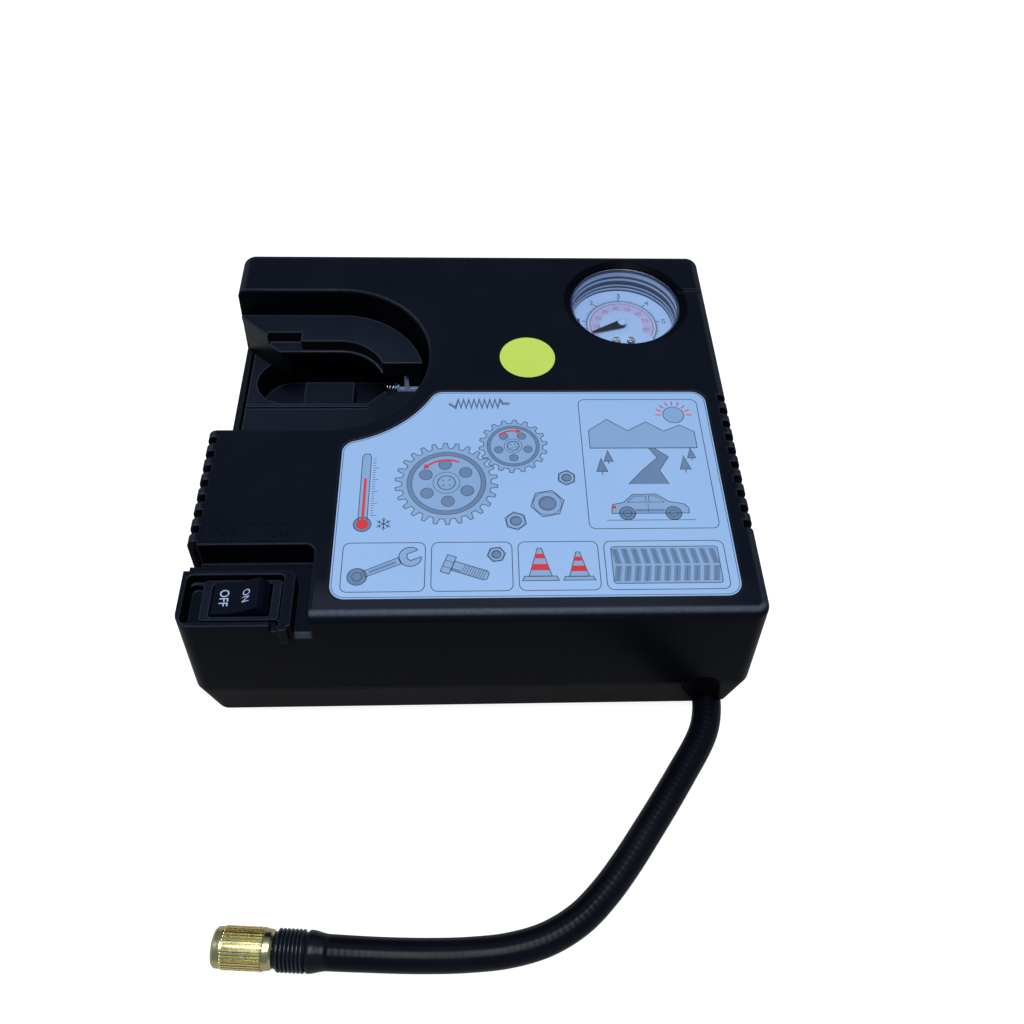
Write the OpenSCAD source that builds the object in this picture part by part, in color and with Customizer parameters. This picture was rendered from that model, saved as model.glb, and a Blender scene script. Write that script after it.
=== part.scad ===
// Twelve volt tyre inflator: a flat case with a bottle dock, a pressure gauge,
// a rocker switch, a motor and piston pump inside, and an air hose.
// Millimetres. The origin is on the floor under the middle of the case, +Z is up,
// the switch side of the case looks along -Y and +X is to the right.

/* [Case] */
// Width of the case at its top edge
case_w = 187; // [182:1:200]
// Depth of the case at its top edge, front to back
case_d = 171.6; // [166:0.1:188]
// Height of the case without its feet
case_h = 66; // [66:0.5:72]
// Height of the seam between the two shells, above the underside
seam_h = 21.5; // [20:0.5:24]
// How far the walls stand out at the seam, past the top edge
flare = 2.3; // [1.4:0.1:3]
// How far the lower shell draws in again towards the underside
lower_draft = 2.3; // [1:0.1:2.6]
// Thickness of the walls
wall = 2.4; // [2:0.1:2.8]
// Radius of the upright corners
corner_r = 5; // [4.5:0.5:8]
// Radius of the rounded top edge
top_edge_r = 3.5; // [2:0.25:4]
// Radius of the rounded bottom edge
bottom_edge_r = 2.4; // [1:0.2:3]
// Height of the rubber feet
foot_h = 6; // [5:0.5:8]
// Diameter of the rubber feet
foot_d = 14; // [10:1:18]
// Distance of the feet from the case's sides
foot_inset_x = 28; // [26:1:34]
// Distance of the feet from the case's front and back
foot_inset_y = 16; // [12:1:22]

/* [Grip grooves] */
// Number of grooves on the right wall
right_grooves = 10; // [6:1:10]
// Number of grooves on the left wall
left_grooves = 8; // [5:1:8]
// Distance from one groove to the next
groove_pitch = 6.3; // [5.5:0.1:6.5]
// Width of a groove
groove_w = 3; // [2:0.1:3.6]
// Depth of a groove
groove_deep = 3.6; // [2:0.1:4]

/* [Dock] */
// Radius of the dock's round end
dock_r = 36.4; // [34:0.1:38]
// Distance of the round end's centre from the left side
dock_reach = 40.5; // [37:0.5:42]
// Distance of the dock's centre line from the back
dock_inset_y = 59.2; // [58:0.05:60.5]
// Depth of the dock's floor under the top
dock_deep = 31.5; // [28:0.5:33]
// Depth of the ledge round the back of the dock under the top
ledge_deep = 13; // [10:0.5:15]
// Width of that ledge
ledge_w = 15; // [12:0.5:17]
// Depth of the basin under the dock's floor
basin_deep = 13.5; // [10:0.5:14]
// Travel of the bottle catch
catch_travel = 2; // [1:0.25:2]

/* [Gauge] */
// Radius of the gauge window
gauge_r = 22.1; // [20:0.1:22.4]
// Distance of the gauge's centre from the right side
gauge_inset_x = 32.7; // [32:0.05:34]
// Distance of the gauge's centre from the back
gauge_inset_y = 28.95; // [28:0.05:31]
// Depth of the dial under the top
dial_deep = 13.4; // [12:0.1:14]
// Depth of the gauge's can under its dial
gauge_can_h = 18.6; // [18:0.2:20]
// Length of the pointer from its centre
pointer_l = 13.4; // [12:0.1:14]
// Direction of the pointer when it rests at zero
pointer_zero = 202; // [195:1:212]
// Angle the pointer sweeps from zero to full scale
pointer_sweep = 232; // [220:2:240]

/* [Label] */
// Distance of the label from the left side
label_left = 47.7; // [46:0.1:49]
// Distance of the label from the right side
label_right = 8.45; // [7.5:0.05:13]
// Distance of the label from the front
label_front = 6.8; // [6.4:0.05:10]
// Distance of the label from the back
label_back = 77.5; // [74:0.05:80]
// Gap between the label and the dock's round end
label_gap = 6.6; // [4:0.1:9]
// Thickness of the label
label_t = 0.3; // [0.2:0.05:0.4]
// Diameter of the round sticker
sticker_d = 20.9; // [18:0.1:22]
// Distance of the sticker's centre from the right side
sticker_inset_x = 73.1; // [71:0.1:75]
// Distance of the sticker's centre from the back
sticker_inset_y = 59.8; // [58:0.05:61]

/* [Switch] */
// Length of the rocker, side to side
rocker_l = 18.4; // [17:0.1:19]
// Width of the rocker, front to back
rocker_w = 11.4; // [10:0.1:11.6]
// Angle the rocker turns from off to on
rocker_turn = 28; // [20:1:30]
// Distance of the switch from the left side
switch_inset_x = 18.9; // [18.5:0.1:19.5]
// Distance of the switch from the front
switch_inset_y = 11.2; // [11:0.05:11.4]
// Depth of the tray's rim under the top
tray_rim_deep = 4.5; // [3.5:0.1:5]
// Depth of the tray's floor under the top
tray_floor_deep = 9; // [8:0.1:10]

/* [Motor and pump] */
// Diameter of the motor's can
motor_d = 38; // [36:0.5:38.5]
// Length of the motor's can, as a share of the case's width
motor_share = 0.27; // [0.25:0.005:0.27]
// Height of the motor and crank axes above the underside, as a share of the case's height
drive_share = 0.6; // [0.59:0.005:0.61]
// Distance of the motor's axis behind the front of the case
motor_inset_y = 40.8; // [38:0.05:42]
// Teeth on the crank gear
crank_teeth = 48; // [48]
// Teeth on the motor's pinion
pinion_teeth = 12; // [12]
// Module of the crank gear and the pinion
gear_module = 0.9; // [0.86:0.01:0.92]
// Stroke of the piston
stroke = 14; // [10:0.5:15]
// Bore of the cylinder
bore_d = 20; // [18:0.5:20.5]

/* [Hose] */
// Diameter of the air hose
hose_d = 10.4; // [9.8:0.1:10.6]
// Number of turns in the binding at the hose's end
binding_turns = 7; // [5:1:7]
// Thickness of the binding wire
binding_wire_d = 0.8; // [0.6:0.05:0.8]
// Diameter of the screw coupling
coupling_d = 12.9; // [12.4:0.1:13]
// Length of the screw coupling
coupling_l = 18.5; // [17:0.5:22]
// Radius of the coupling's tyre valve thread
coupling_bore_r = 3.85; // [3.6:0.05:4]

/* [Hidden] */

// Fine and coarse facet counts: round exact faces, and the round parts of hulls
$fn = 48;
hull_fn = 32;
// A little more, for cuts that run past a face
past = 1;

// Clearances
fit_gap = 0.05;     // a shaft in its hole
free_gap = 0.3;     // a moving piece beside a fixed one
seat_gap = 0.02;    // a pressed piece in its seat

// Case
half_w = case_w / 2;
half_d = case_d / 2;
seam_half_w = half_w + flare;
seam_half_d = half_d + flare;
base_half_w = seam_half_w - lower_draft;
base_half_d = seam_half_d - lower_draft;
wall_lean = atan(flare / (case_h - top_edge_r - seam_h));
groove_l = 30;
right_groove_y = half_d - 80.4;
left_groove_y = half_d - dock_inset_y - dock_r - 4.4;
inner_top = case_h - wall;
side_in = half_w - wall;
front_in = half_d - wall;

// Dock
dock_x = -half_w + dock_reach;
dock_y = half_d - dock_inset_y;
dock_floor_z = case_h - dock_deep;
ledge_z = case_h - ledge_deep;
ledge_low_z = ledge_z - 5.2;
ledge_t = 6.8;
ledge_off = [-0.6, 2.2];
dock_back = dock_y + dock_r;
dock_wall = 2.2;
floor_t = 2;
ledge_in_r = dock_r - ledge_w;
ledge_end_y = dock_y + 9.2;
basin_front = dock_y + 4.9;
basin_wall = 1.6;
basin_z = dock_floor_z - basin_deep;
ledge_skirt_in = dock_back - 5;

// Bottle catch
catch_x = dock_x + 21.9;
catch_y = basin_front + 6.1;
catch_l = 9.5;
catch_w = 1.4;
catch_t = 1.6;
catch_post = 1.8;
catch_guide = 1.2;
spring_axis_z = dock_floor_z + 2.05;
catch_h = 0.68 * (ledge_z - ledge_t - dock_floor_z);
spring_turns = 3;
spring_wire_d = 0.5;
spring_d = 3.6;
spring_l = 3.8;

// Gauge
gauge_x = half_w - gauge_inset_x;
gauge_y = half_d - gauge_inset_y;
dial_z = case_h - dial_deep;
dial_t = 0.8;
lens_r = gauge_r - free_gap;
can_r = lens_r - 0.8;
can_z = dial_z - dial_t - gauge_can_h;
can_wall = 0.8;
dish_r = gauge_r + 2.8;
movement_module = 0.35;
sector_teeth = 80;
arbor_teeth = 10;
movement_reach = movement_module * (sector_teeth + arbor_teeth) / 2;
sector_angle = 320;
sector_swing = pointer_sweep * arbor_teeth / sector_teeth;
plate_low_z = can_z + 8;
plate_high_z = can_z + 14;
plate_t = 1;
arbor_r = 0.5;
dial_screw_x = 3;
dial_screw_y = -8.8;

// Switch
switch_x = -half_w + switch_inset_x;
switch_y = -half_d + switch_inset_y;
tray_rim_z = case_h - tray_rim_deep;
tray_floor_z = case_h - tray_floor_deep;
valley_z = case_h - 11;
bezel_l = rocker_l + 6.4;
bezel_w = rocker_w + 3.4;
bezel_t = 1.6;
switch_wall = 1.2;
switch_h = 20;
rocker_axis_z = tray_floor_z - 0.5;
rocker_pin_r = 1.2;
rocker_gap = 0.4;
tray_right = switch_x + 17.1;
tray_back = switch_y + 9.25;
tray_wall = 1.6;
notch_right = tray_right + 6;
notch_back = tray_back + 7;

// Motor and pump
motor_y = -half_d + motor_inset_y;
motor_l = motor_share * case_w;
drive_z = drive_share * case_h;
motor_r = motor_d / 2;
motor_wall = 1.4;
motor_cap_t = 6;
terminal_t = 2;
shaft_r = 2;
bushing_r = 4;
gear_reach = gear_module * (crank_teeth + pinion_teeth) / 2;
crank_y = motor_y + gear_reach;
gear_t = 5;
body_t = 3;
axle_r = 3;
bearing_r = 5;
bearing_l = 7;
rod_t = 4.4;
crank_pin_r = 2.5;
web_t = 1.8;
bore_r = bore_d / 2;
cylinder_r = bore_r + 2;
cylinder_y = crank_y + 26;
cylinder_l = 32;
flange_r = bore_r + 5.5;
flange_t = 4;
// The whole drive stands between the dock's wall and the right side
dock_end_x = dock_x + dock_r + dock_wall;
rod_to_motor = 14;
drive_l = flange_r + rod_to_motor + motor_l + motor_cap_t + terminal_t;
rod_x = dock_end_x + flange_r + 0.3 * (side_in - dock_end_x - drive_l);
motor_x = rod_x + rod_to_motor;
motor_end = motor_x + motor_l;
plate_x = motor_x - body_t;
gear_x = rod_x + 4.8;
head_y = cylinder_y + cylinder_l;
valve_t = 1.2;
head_l = 9;
rod_y = crank_y - stroke / 2;
piston_top = cylinder_y + 15 - (stroke - 14);
piston_t = 5;
seal_t = 1.6;
head_screw_r = bore_r + 3.2;

// Hose, its barb, and the channel that it lies in under the case
hose_x = half_w - 7.9;
barb_y = -half_d + 39.8;
barb_z = 6.4;
hose_r = hose_d / 2;
channel_left = hose_x - 10.2;
channel_right = hose_x + 5.6;
channel_back = barb_y + 5.6;
channel_top = 13;
channel_wall = 2.2;
manifold_w = 11;
manifold_d = 12;
manifold_y = channel_back + channel_wall;
manifold_z = 14;
scoop_r = 9;
scoop_deep = 3;
scoop_lean = 18;
scoop_top = 25;

// Route of the hose, from its barb along the channel and over the floor, and its shift with the case's corner
hose_shift = [hose_x - 85.6, 85.8 - half_d, 0];
hose_points = [
    [85.6, -46, 12.4], [85.6, -56, 12.4], [85.6, -64, 10.6], [85.6, -72, 7.6], [85.5, -80, 5.7],
    [84.9, -88, 5.2], [82.9, -95.2, 5.2], [79.3, -102, 5.2], [72.8, -111.4, 5.2],
    [65.4, -121.8, 5.2], [57.8, -132, 5.2], [49.8, -142.4, 5.2], [41.6, -151.8, 5.2],
    [32.8, -159.6, 5.2], [22, -165.3, 5.2], [9.8, -168.3, 5.2], [-3, -169.3, 5.3],
    [-15, -169.4, 5.7], [-26, -169.1, 6.2], [-37, -168.5, 6.5], [-47, -167.8, 6.5]
];
hose_route = [for (p = hose_points) p + hose_shift];
hose_sides = 10;
hose_end = hose_route[len(hose_route) - 1];
coupling_turn = 176;
// Distances along the coupling's axis, from the hose's end
sleeve_l = 16.2;
binding_start = 6.6;
binding_pitch = binding_wire_d + 0.45;
binding_core_r = 5.6;
nut_start = 16.4;
nut_chamber = 9;
stem_r = 3.2;
knurls = 36;

// Wires: from the power gland to the switch and the motor, and from the switch to the motor
wire_d = 2.4;
gland_x = -half_w + 33.5;
gland_z = 12;
gland_r = 6;
gland_bore_r = 3.25;
switch_wire_z = tray_floor_z - switch_h - 9;
terminal_x = motor_end + motor_cap_t + terminal_t;
wire_to_switch = [
    [gland_x - 1.6, base_half_d - 5.6, 12], [gland_x - 1.6, half_d - 12, 10], [-half_w + 26.5, half_d - 44, 8],
    [-half_w + 18.5, 0, 8], [-half_w + 16.5, -half_d + 44, 9], [-half_w + 14.5, -half_d + 22, 13],
    [switch_x - 5, switch_y, switch_wire_z - 6], [switch_x - 5, switch_y, switch_wire_z]
];
wire_to_motor = [
    [gland_x + 1.6, base_half_d - 5.6, 12], [gland_x + 1.6, half_d - 12, 8], [gland_x + 16, half_d - 64, 7],
    [gland_x + 36, -half_d + 72, 7], [rod_x - 6, -half_d + 42, 9], [motor_x + 4, -half_d + 16, 9],
    [motor_end - 10, -half_d + 14, 12], [motor_end + 10, -half_d + 17, 20], [terminal_x + 2, motor_y - 13, 29],
    [terminal_x, motor_y - 8, drive_z - 7], [terminal_x, motor_y - 8, drive_z - 3.1]
];
switch_to_motor = [
    [switch_x + 5, switch_y, switch_wire_z], [switch_x + 5, switch_y, switch_wire_z - 6],
    [-half_w + 32, -half_d + 13, 15], [-half_w + 62, -half_d + 14, 14], [rod_x - 6, -half_d + 16, 14],
    [motor_x + 4, -half_d + 11, 14], [motor_end - 10, -half_d + 9, 16], [motor_end + 10, -half_d + 10, 18],
    [hose_x + 2, -half_d + 20, 19], [hose_x + 2, -half_d + 36, 23], [hose_x - 2, -half_d + 45, 28],
    [terminal_x, motor_y + 8, 33], [terminal_x, motor_y + 8, drive_z - 3.1]
];

// Air tubes inside the case
tube_d = 6;
outlet_end = [rod_x, head_y + valve_t + head_l / 2, drive_z - flange_r - 5];
outlet_side = [hose_x - manifold_w / 2 - 5.4, manifold_y + manifold_d / 2, 8];
outlet_across = outlet_side[0] - outlet_end[0];
outlet_route = [
    outlet_end - [0, 0, 0.02], outlet_end - [0, 0, 4], outlet_end + [4, -2, -9],
    outlet_end + [0.19 * outlet_across, -7, -10.5], [outlet_end[0] + 0.44 * outlet_across, crank_y + 38, 8],
    [outlet_end[0] + 0.66 * outlet_across, crank_y + 20, 8],
    [outlet_end[0] + 0.83 * outlet_across, outlet_side[1] + 10, 8], outlet_side - [6, -1, 0], outlet_side
];
stem_z = can_z - 12;
gauge_route = [
    [hose_x, manifold_y + manifold_d + 6.02, 8], [hose_x, manifold_y + manifold_d + 12, 8],
    [hose_x - 5, gauge_y - 52, 8], [hose_x - 14, gauge_y - 32, 8], [gauge_x + 3, gauge_y - 15, 8.5],
    [gauge_x, gauge_y - 6, stem_z - 13], [gauge_x, gauge_y - 1, stem_z - 9], [gauge_x, gauge_y, stem_z - 5],
    [gauge_x, gauge_y, stem_z]
];

// Places of the screws that hold the case together
screw_spots = [
    [-half_w + 8.5, -half_d + 35.8], [-half_w + 8.5, half_d - 7.75], [0, half_d - 5.75],
    [half_w - 8.5, half_d - 7.75], [half_w - 8.5, half_d - 61.8], [0, -half_d + 5.75]
];
tower_r = 4;
screw_r = 1.5;
screw_head_r = 2.8;
screw_sink = 8;
screw_l = 22;

// Colours
black = [0.07, 0.07, 0.085];
dark = [0.11, 0.11, 0.13];
rubber = [0.05, 0.05, 0.055];
steel = [0.72, 0.73, 0.75];
brass = [0.80, 0.66, 0.32];
alloy = [0.62, 0.63, 0.65];
white = [0.93, 0.94, 0.96];
copper = [0.72, 0.42, 0.22];

// ---------------------------------------------------------------- helpers

function unit(v) = v / norm(v);

// Direction of a route at point i
function heading(p, i) =
    i == 0 ? unit(p[1] - p[0])
    : i == len(p) - 1 ? unit(p[i] - p[i - 1])
    : unit(unit(p[i + 1] - p[i]) + unit(p[i] - p[i - 1]));

// v with its share along t taken out
function square_to(v, t) = unit(v - (v * t) * t);

// One side direction for each point of a route, carried along without twist
function side_ways(p, first) = [
    for (i = 0, n = square_to(first, heading(p, 0)); i < len(p);
         i = i + 1, n = i < len(p) ? square_to(n, heading(p, i)) : n) n
];

// A solid round tube along a route, in triangles
module tube(route, r, sides, first = [0.31, 0.17, 0.94]) {
    ways = side_ways(route, first);
    rings = len(route);
    points = [
        for (i = [0 : rings - 1], k = [0 : sides - 1])
            let (t = heading(route, i), n = ways[i], a = 360 * k / sides)
            route[i] + r * (cos(a) * n + sin(a) * cross(t, n))
    ];
    walls = [
        for (i = [0 : rings - 2], k = [0 : sides - 1])
            let (a = i * sides + k, b = i * sides + (k + 1) % sides)
            each [[a, a + sides, b], [b, a + sides, b + sides]]
    ];
    last = (rings - 1) * sides;
    caps = [for (k = [1 : sides - 2]) each [[0, k, k + 1], [last, last + k + 1, last + k]]];
    polyhedron(points, concat(walls, caps), convexity = 10);
}

// Points of a helix about +Z that ends in a straight bit, one wire diameter long
function helix(r, pitch, turns, steps, lead) =
    let (
        n = turns * steps,
        spot = [for (i = [0 : n]) [r * cos(360 * i / steps), r * sin(360 * i / steps), pitch * i / steps]],
        rise = pitch / (2 * PI * r),
        on = lead * unit([0, 1, rise])
    )
    concat([spot[0] - on], spot, [spot[n] + on]);

// Least gap of a helix to its own next turns, measured between its points
function least_gap(p, steps, wire_d) = min([
    for (i = [0 : len(p) - 1], j = [i + floor(steps / 2) : 1 : len(p) - 1]) norm(p[i] - p[j])
]) - wire_d;

function involute(a) = tan(a) * 180 / PI - a;

// Half the angle that a tooth covers at radius r
function tooth_half(r, n, m, slack) =
    let (pitch_r = n * m / 2, base_r = pitch_r * cos(20), at = max(r, base_r * 1.0001))
    90 / n * (1 - slack) + involute(20) - involute(acos(base_r / at));

// Outline of teeth first to last of a spur gear, tooth 0 pointing along +X
function teeth(n, m, first, last, tip, root, slack) =
    let (
        pitch_r = n * m / 2,
        low = pitch_r - root * m,
        high = pitch_r + tip * m,
        radii = [low, max(low, pitch_r * cos(20)), pitch_r - 0.3 * m, pitch_r, pitch_r + 0.4 * m, high]
    )
    [
        for (i = [first : last])
            let (mid = 360 * i / n)
            each concat(
                [for (r = radii) let (a = mid - tooth_half(r, n, m, slack)) [r * cos(a), r * sin(a)]],
                [for (k = [5 : -1 : 0])
                    let (r = radii[k], a = mid + tooth_half(r, n, m, slack)) [r * cos(a), r * sin(a)]]
            )
    ];

// Puts things that are measured from the case's underside on the feet
module on_feet() { translate([0, 0, foot_h]) children(); }

// Local +Z runs along the motor's axis, away from the gears
module motor_line(x) { translate([x, motor_y, drive_z]) rotate([0, 90, 0]) children(); }

// The same for the crank's axis
module crank_line(x) { translate([x, crank_y, drive_z]) rotate([0, 90, 0]) children(); }

// Local +Z runs along the cylinder, towards its head
module bore_line(y) { translate([rod_x, y, drive_z]) rotate([-90, 0, 0]) children(); }

// Local X and Y are the case's Y and Z, and local +Z is the case's +X
module side_on(x) { translate([x, 0, 0]) rotate([90, 0, 90]) children(); }

// Local +Z runs along the coupling, away from the hose
module coupling_line(s) { translate(hose_end) rotate([0, 0, coupling_turn]) rotate([0, 90, 0])
    translate([0, 0, s]) children(); }

module ring(r_out, r_in, h) {
    difference() {
        cylinder(r = r_out, h = h);
        translate([0, 0, -past]) cylinder(r = r_in, h = h + 2 * past);
    }
}

module rounded_square(w, d, r) {
    translate([-w / 2 + r, -d / 2]) square([w - 2 * r, d]);
    translate([-w / 2, -d / 2 + r]) square([w, d - 2 * r]);
    for (x = [-1, 1], y = [-1, 1]) translate([x * (w / 2 - r), y * (d / 2 - r)]) circle(r = r);
}

// ---------------------------------------------------------------- case

// Four upright discs at the corners of a level, for a hull
module corner_discs(hw, hd, r, z, t) {
    for (x = [-1, 1], y = [-1, 1])
        translate([x * (hw - r), y * (hd - r), z]) cylinder(r = r, h = t, $fn = hull_fn);
}

// Four corners with a rounded edge of radius e, for a hull
module corner_rounds(hw, hd, r, e, z) {
    for (x = [-1, 1], y = [-1, 1])
        translate([x * (hw - r), y * (hd - r), z])
            rotate_extrude($fn = hull_fn) translate([r - e, 0]) intersection() {
                circle(r = e, $fn = hull_fn);
                translate([0, -e]) square([e, 2 * e]);
            }
}

module upper_outer() {
    hull() {
        corner_discs(seam_half_w, seam_half_d, corner_r, seam_h, 0.4);
        corner_rounds(half_w, half_d, corner_r, top_edge_r, case_h - top_edge_r);
    }
}

module upper_hollow() {
    hull() {
        corner_discs(seam_half_w - wall, seam_half_d - wall, corner_r - 2, seam_h - past, 0.4);
        corner_discs(half_w - wall, half_d - wall, corner_r - 2, inner_top - 0.4, 0.4);
    }
}

module lower_outer() {
    hull() {
        corner_discs(seam_half_w, seam_half_d, corner_r, seam_h - 0.4, 0.4);
        corner_rounds(base_half_w, base_half_d, corner_r, bottom_edge_r, bottom_edge_r);
    }
}

module lower_hollow() {
    hull() {
        corner_discs(seam_half_w - wall, seam_half_d - wall, corner_r - 2, seam_h + past, 0.4);
        corner_discs(base_half_w - wall, base_half_d - wall, corner_r - 2, wall, 0.4);
    }
}

// Outline of the dock, open to the left
module dock_outline(extra = 0) {
    translate([dock_x, dock_y]) circle(r = dock_r + extra, $fn = 96);
    translate([-2 * half_w, dock_y - dock_r - extra])
        square([2 * half_w + dock_x, 2 * (dock_r + extra)]);
}

module dock_void() {
    translate([0, 0, dock_floor_z]) linear_extrude(case_h) dock_outline();
}

// Everything left of and in front of a corner that is rounded by r
module corner_area(right, back, r) {
    translate([-2 * half_w, -2 * half_d]) {
        square([2 * half_w + right - r, 2 * half_d + back]);
        square([2 * half_w + right, 2 * half_d + back - r]);
    }
    translate([right - r, back - r]) circle(r = r);
}

module rounded_area(left, front, right, back, r) {
    translate([(left + right) / 2, (front + back) / 2]) rounded_square(right - left, back - front, r);
}

module notch_void() {
    translate([0, 0, valley_z]) linear_extrude(case_h) corner_area(notch_right, notch_back, 3.5);
    // the valley falls away at the front, beside the tray
    translate([tray_right, -half_d + 1.2, valley_z]) rotate([38, 0, 0]) translate([0, -20, 0])
        cube([notch_right - tray_right, 20, 10]);
}

// The hose's way through the front of the case, leaning like the hose's root
module scoop(extra = 0) {
    translate([hose_x - 0.6, -seam_half_d - scoop_r + scoop_deep, 0]) rotate([0, -scoop_lean, 0]) {
        translate([0, 0, -20]) cylinder(r = scoop_r + extra, h = scoop_top + 20 - scoop_r / 2);
        translate([0, 0, scoop_top - scoop_r / 2]) sphere(r = scoop_r + extra);
    }
}

// Upright grooves for the fingers, leaning like the wall
module grooves(side, count, first_y) {
    for (i = [0 : count - 1])
        translate([side * (half_w - groove_deep), first_y - i * groove_pitch, case_h - top_edge_r])
            rotate([0, -side * wall_lean, 0]) translate([side * 6, 0, 5 - groove_l / 2])
                cube([12, groove_w, groove_l + 10], center = true);
}

// Thicker wall behind the grooves
module groove_backing(side, count, first_y) {
    span = (count - 1) * groove_pitch + groove_w + 1;
    translate([side * (half_w - groove_deep - 1.6 + 5), first_y - span / 2 + groove_w / 2 + 0.5,
               case_h - groove_l / 2 - 2])
        cube([10, span, groove_l + 4], center = true);
}

module tray_rib() {
    side = tray_right - tray_wall - 2.2;
    translate([side, -half_d - 1.8, case_h - 13]) cube([2.8, 3.5, 13 - tray_rim_deep]);
}

module upper_shell() color(black) on_feet()
difference() {
    union() {
        difference() {
            union() {
                difference() { upper_outer(); upper_hollow(); }
                intersection() {
                    upper_outer();
                    union() {
                        // wall round the dock, standing on its floor
                        translate([0, 0, dock_floor_z]) linear_extrude(dock_deep - past)
                            dock_outline(dock_wall);
                        // box round the switch tray
                        translate([-2 * half_w, -2 * half_d, valley_z - wall])
                            cube([2 * half_w + notch_right + wall, 2 * half_d + notch_back + wall,
                                  case_h - valley_z]);
                        // collar round the gauge
                        translate([gauge_x, gauge_y, dial_z]) cylinder(r = gauge_r + wall, h = dial_deep - past);
                        // backing of the hose's way and of the grooves
                        scoop(wall);
                        groove_backing(1, right_grooves, right_groove_y);
                        groove_backing(-1, left_grooves, left_groove_y);
                    }
                }
            }
            dock_void();
            notch_void();
            scoop();
            translate([gauge_x, gauge_y, dial_z - past]) cylinder(r = gauge_r, h = case_h, $fn = 96);
            translate([gauge_x, gauge_y, case_h - 1.2])
                cylinder(r1 = gauge_r, r2 = dish_r + 0.1, h = 1.3, $fn = 96);
            translate([gauge_x + gauge_r, gauge_y + 5.6, case_h - 0.8]) cube([half_w, 2.2, case_h]);
            translate([0, 0, case_h - label_t - 0.1]) linear_extrude(case_h) label_outline(0.4);
            grooves(1, right_grooves, right_groove_y);
            grooves(-1, left_grooves, left_groove_y);
        }
        // switch tray
        intersection() {
            upper_outer();
            translate([0, 0, valley_z - wall]) linear_extrude(tray_rim_z - valley_z + wall)
                corner_area(tray_right, tray_back, 2.6);
        }
        tray_rib();
        // towers for the case screws
        for (s = screw_spots) translate([s[0], s[1], seam_h]) cylinder(r = tower_r, h = inner_top - seam_h + 0.6);
    }
    // inside of the tray, with a deeper end and the switch's opening
    translate([0, 0, tray_floor_z]) linear_extrude(case_h)
        rounded_area(-half_w + tray_wall, -half_d + tray_wall, tray_right - tray_wall - 2, tray_back - tray_wall, 1.8);
    translate([0, 0, tray_floor_z - 3]) linear_extrude(case_h)
        rounded_area(-half_w + tray_wall, -half_d + tray_wall + 0.8, switch_x - bezel_l / 2 - 0.4,
                     tray_back - tray_wall - 1, 1.8);
    translate([switch_x, switch_y, 0]) linear_extrude(case_h) square([bezel_l - 2.6, bezel_w - 0.8], center = true);
    // step in the tray's front rim beside its rib
    translate([tray_right - tray_wall - 5, -seam_half_d - past, tray_rim_z - 3.4])
        cube([2.8, flare + past + tray_wall + 0.1, case_h]);
    for (s = screw_spots) translate([s[0], s[1], seam_h - past]) cylinder(r = screw_r - 0.1, h = screw_l - screw_sink);
}

module lower_shell() color(dark) on_feet()
difference() {
    union() {
        difference() {
            union() {
                difference() { lower_outer(); lower_hollow(); }
                intersection() {
                    lower_outer();
                    union() {
                        // walls and roof of the hose's channel
                        translate([channel_left - channel_wall, -2 * half_d, 0])
                            cube([2 * half_w, 2 * half_d + manifold_y, channel_top + channel_wall]);
                        scoop(wall);
                        // flat seat for the power gland's flange
                        translate([gland_x - gland_r - 3, base_half_d - wall - 0.18, 0])
                            cube([2 * gland_r + 6, 8, gland_z + gland_r + 2.5]);
                    }
                }
            }
            translate([channel_left, -base_half_d + wall, -past])
                cube([channel_right - channel_left, channel_back + base_half_d - wall, channel_top + past]);
            scoop();
            // the hose's arch in the front wall
            translate([hose_x - 0.4, -2 * half_d, hose_r - foot_h]) rotate([-90, 0, 0])
                cylinder(r = hose_r + 0.5, h = 2 * half_d - base_half_d + wall + 1);
        }
        for (s = screw_spots) translate([s[0], s[1], 0.2]) cylinder(r = tower_r, h = seam_h - 0.2);
        // saddles under the motor
        for (x = [motor_x + 9, motor_end - 10])
            translate([x - 2, motor_y - motor_r + 2, wall - 0.2])
                cube([4, 2 * motor_r - 4, drive_z - motor_r + 6 - wall]);
    }
    motor_line(motor_x - 5) cylinder(r = motor_r + 2, h = motor_l + 10);
    for (s = screw_spots) translate([s[0], s[1], -past]) {
        cylinder(r = screw_head_r + 0.2, h = screw_sink + past);
        cylinder(r = screw_r + 0.15, h = seam_h + 2 * past);
    }
    // hole for the barb's shank, and for the power gland
    translate([hose_x, channel_back - past, barb_z]) rotate([-90, 0, 0]) cylinder(r = 4, h = channel_wall + 2 * past);
    translate([gland_x, half_d - 8, gland_z]) rotate([-90, 0, 0]) cylinder(r = gland_r, h = 16);
}

module feet() color(rubber)
for (x = [-1, 1], y = [-1, 1])
    translate([x * (half_w - foot_inset_x), y * (half_d - foot_inset_y), 0]) {
        cylinder(r1 = foot_d / 2 - 0.8, r2 = foot_d / 2, h = 1);
        translate([0, 0, 1]) cylinder(d = foot_d, h = foot_h - 1);
    }

module case_screws() color(steel) on_feet()
for (s = screw_spots) translate([s[0], s[1], screw_sink]) difference() {
    union() {
        translate([0, 0, -2]) cylinder(r = screw_head_r, h = 2);
        cylinder(r = screw_r - 0.12, h = screw_l - 2);
    }
    for (a = [0, 90]) rotate([0, 0, a]) translate([0, 0, -2]) cube([3, 0.8, 1.6], center = true);
}

// Rubber bush that the power cable comes through, flush with the back wall
module power_gland() color(rubber) on_feet()
translate([gland_x, base_half_d - wall - 2.2, gland_z]) rotate([-90, 0, 0]) difference() {
    union() {
        cylinder(r = gland_r + 1.6, h = 2);
        cylinder(r = gland_r - seat_gap, h = 5.4);
    }
    translate([0, 0, -past]) cylinder(r = gland_bore_r, h = 8);
}

// ---------------------------------------------------------------- dock

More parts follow.
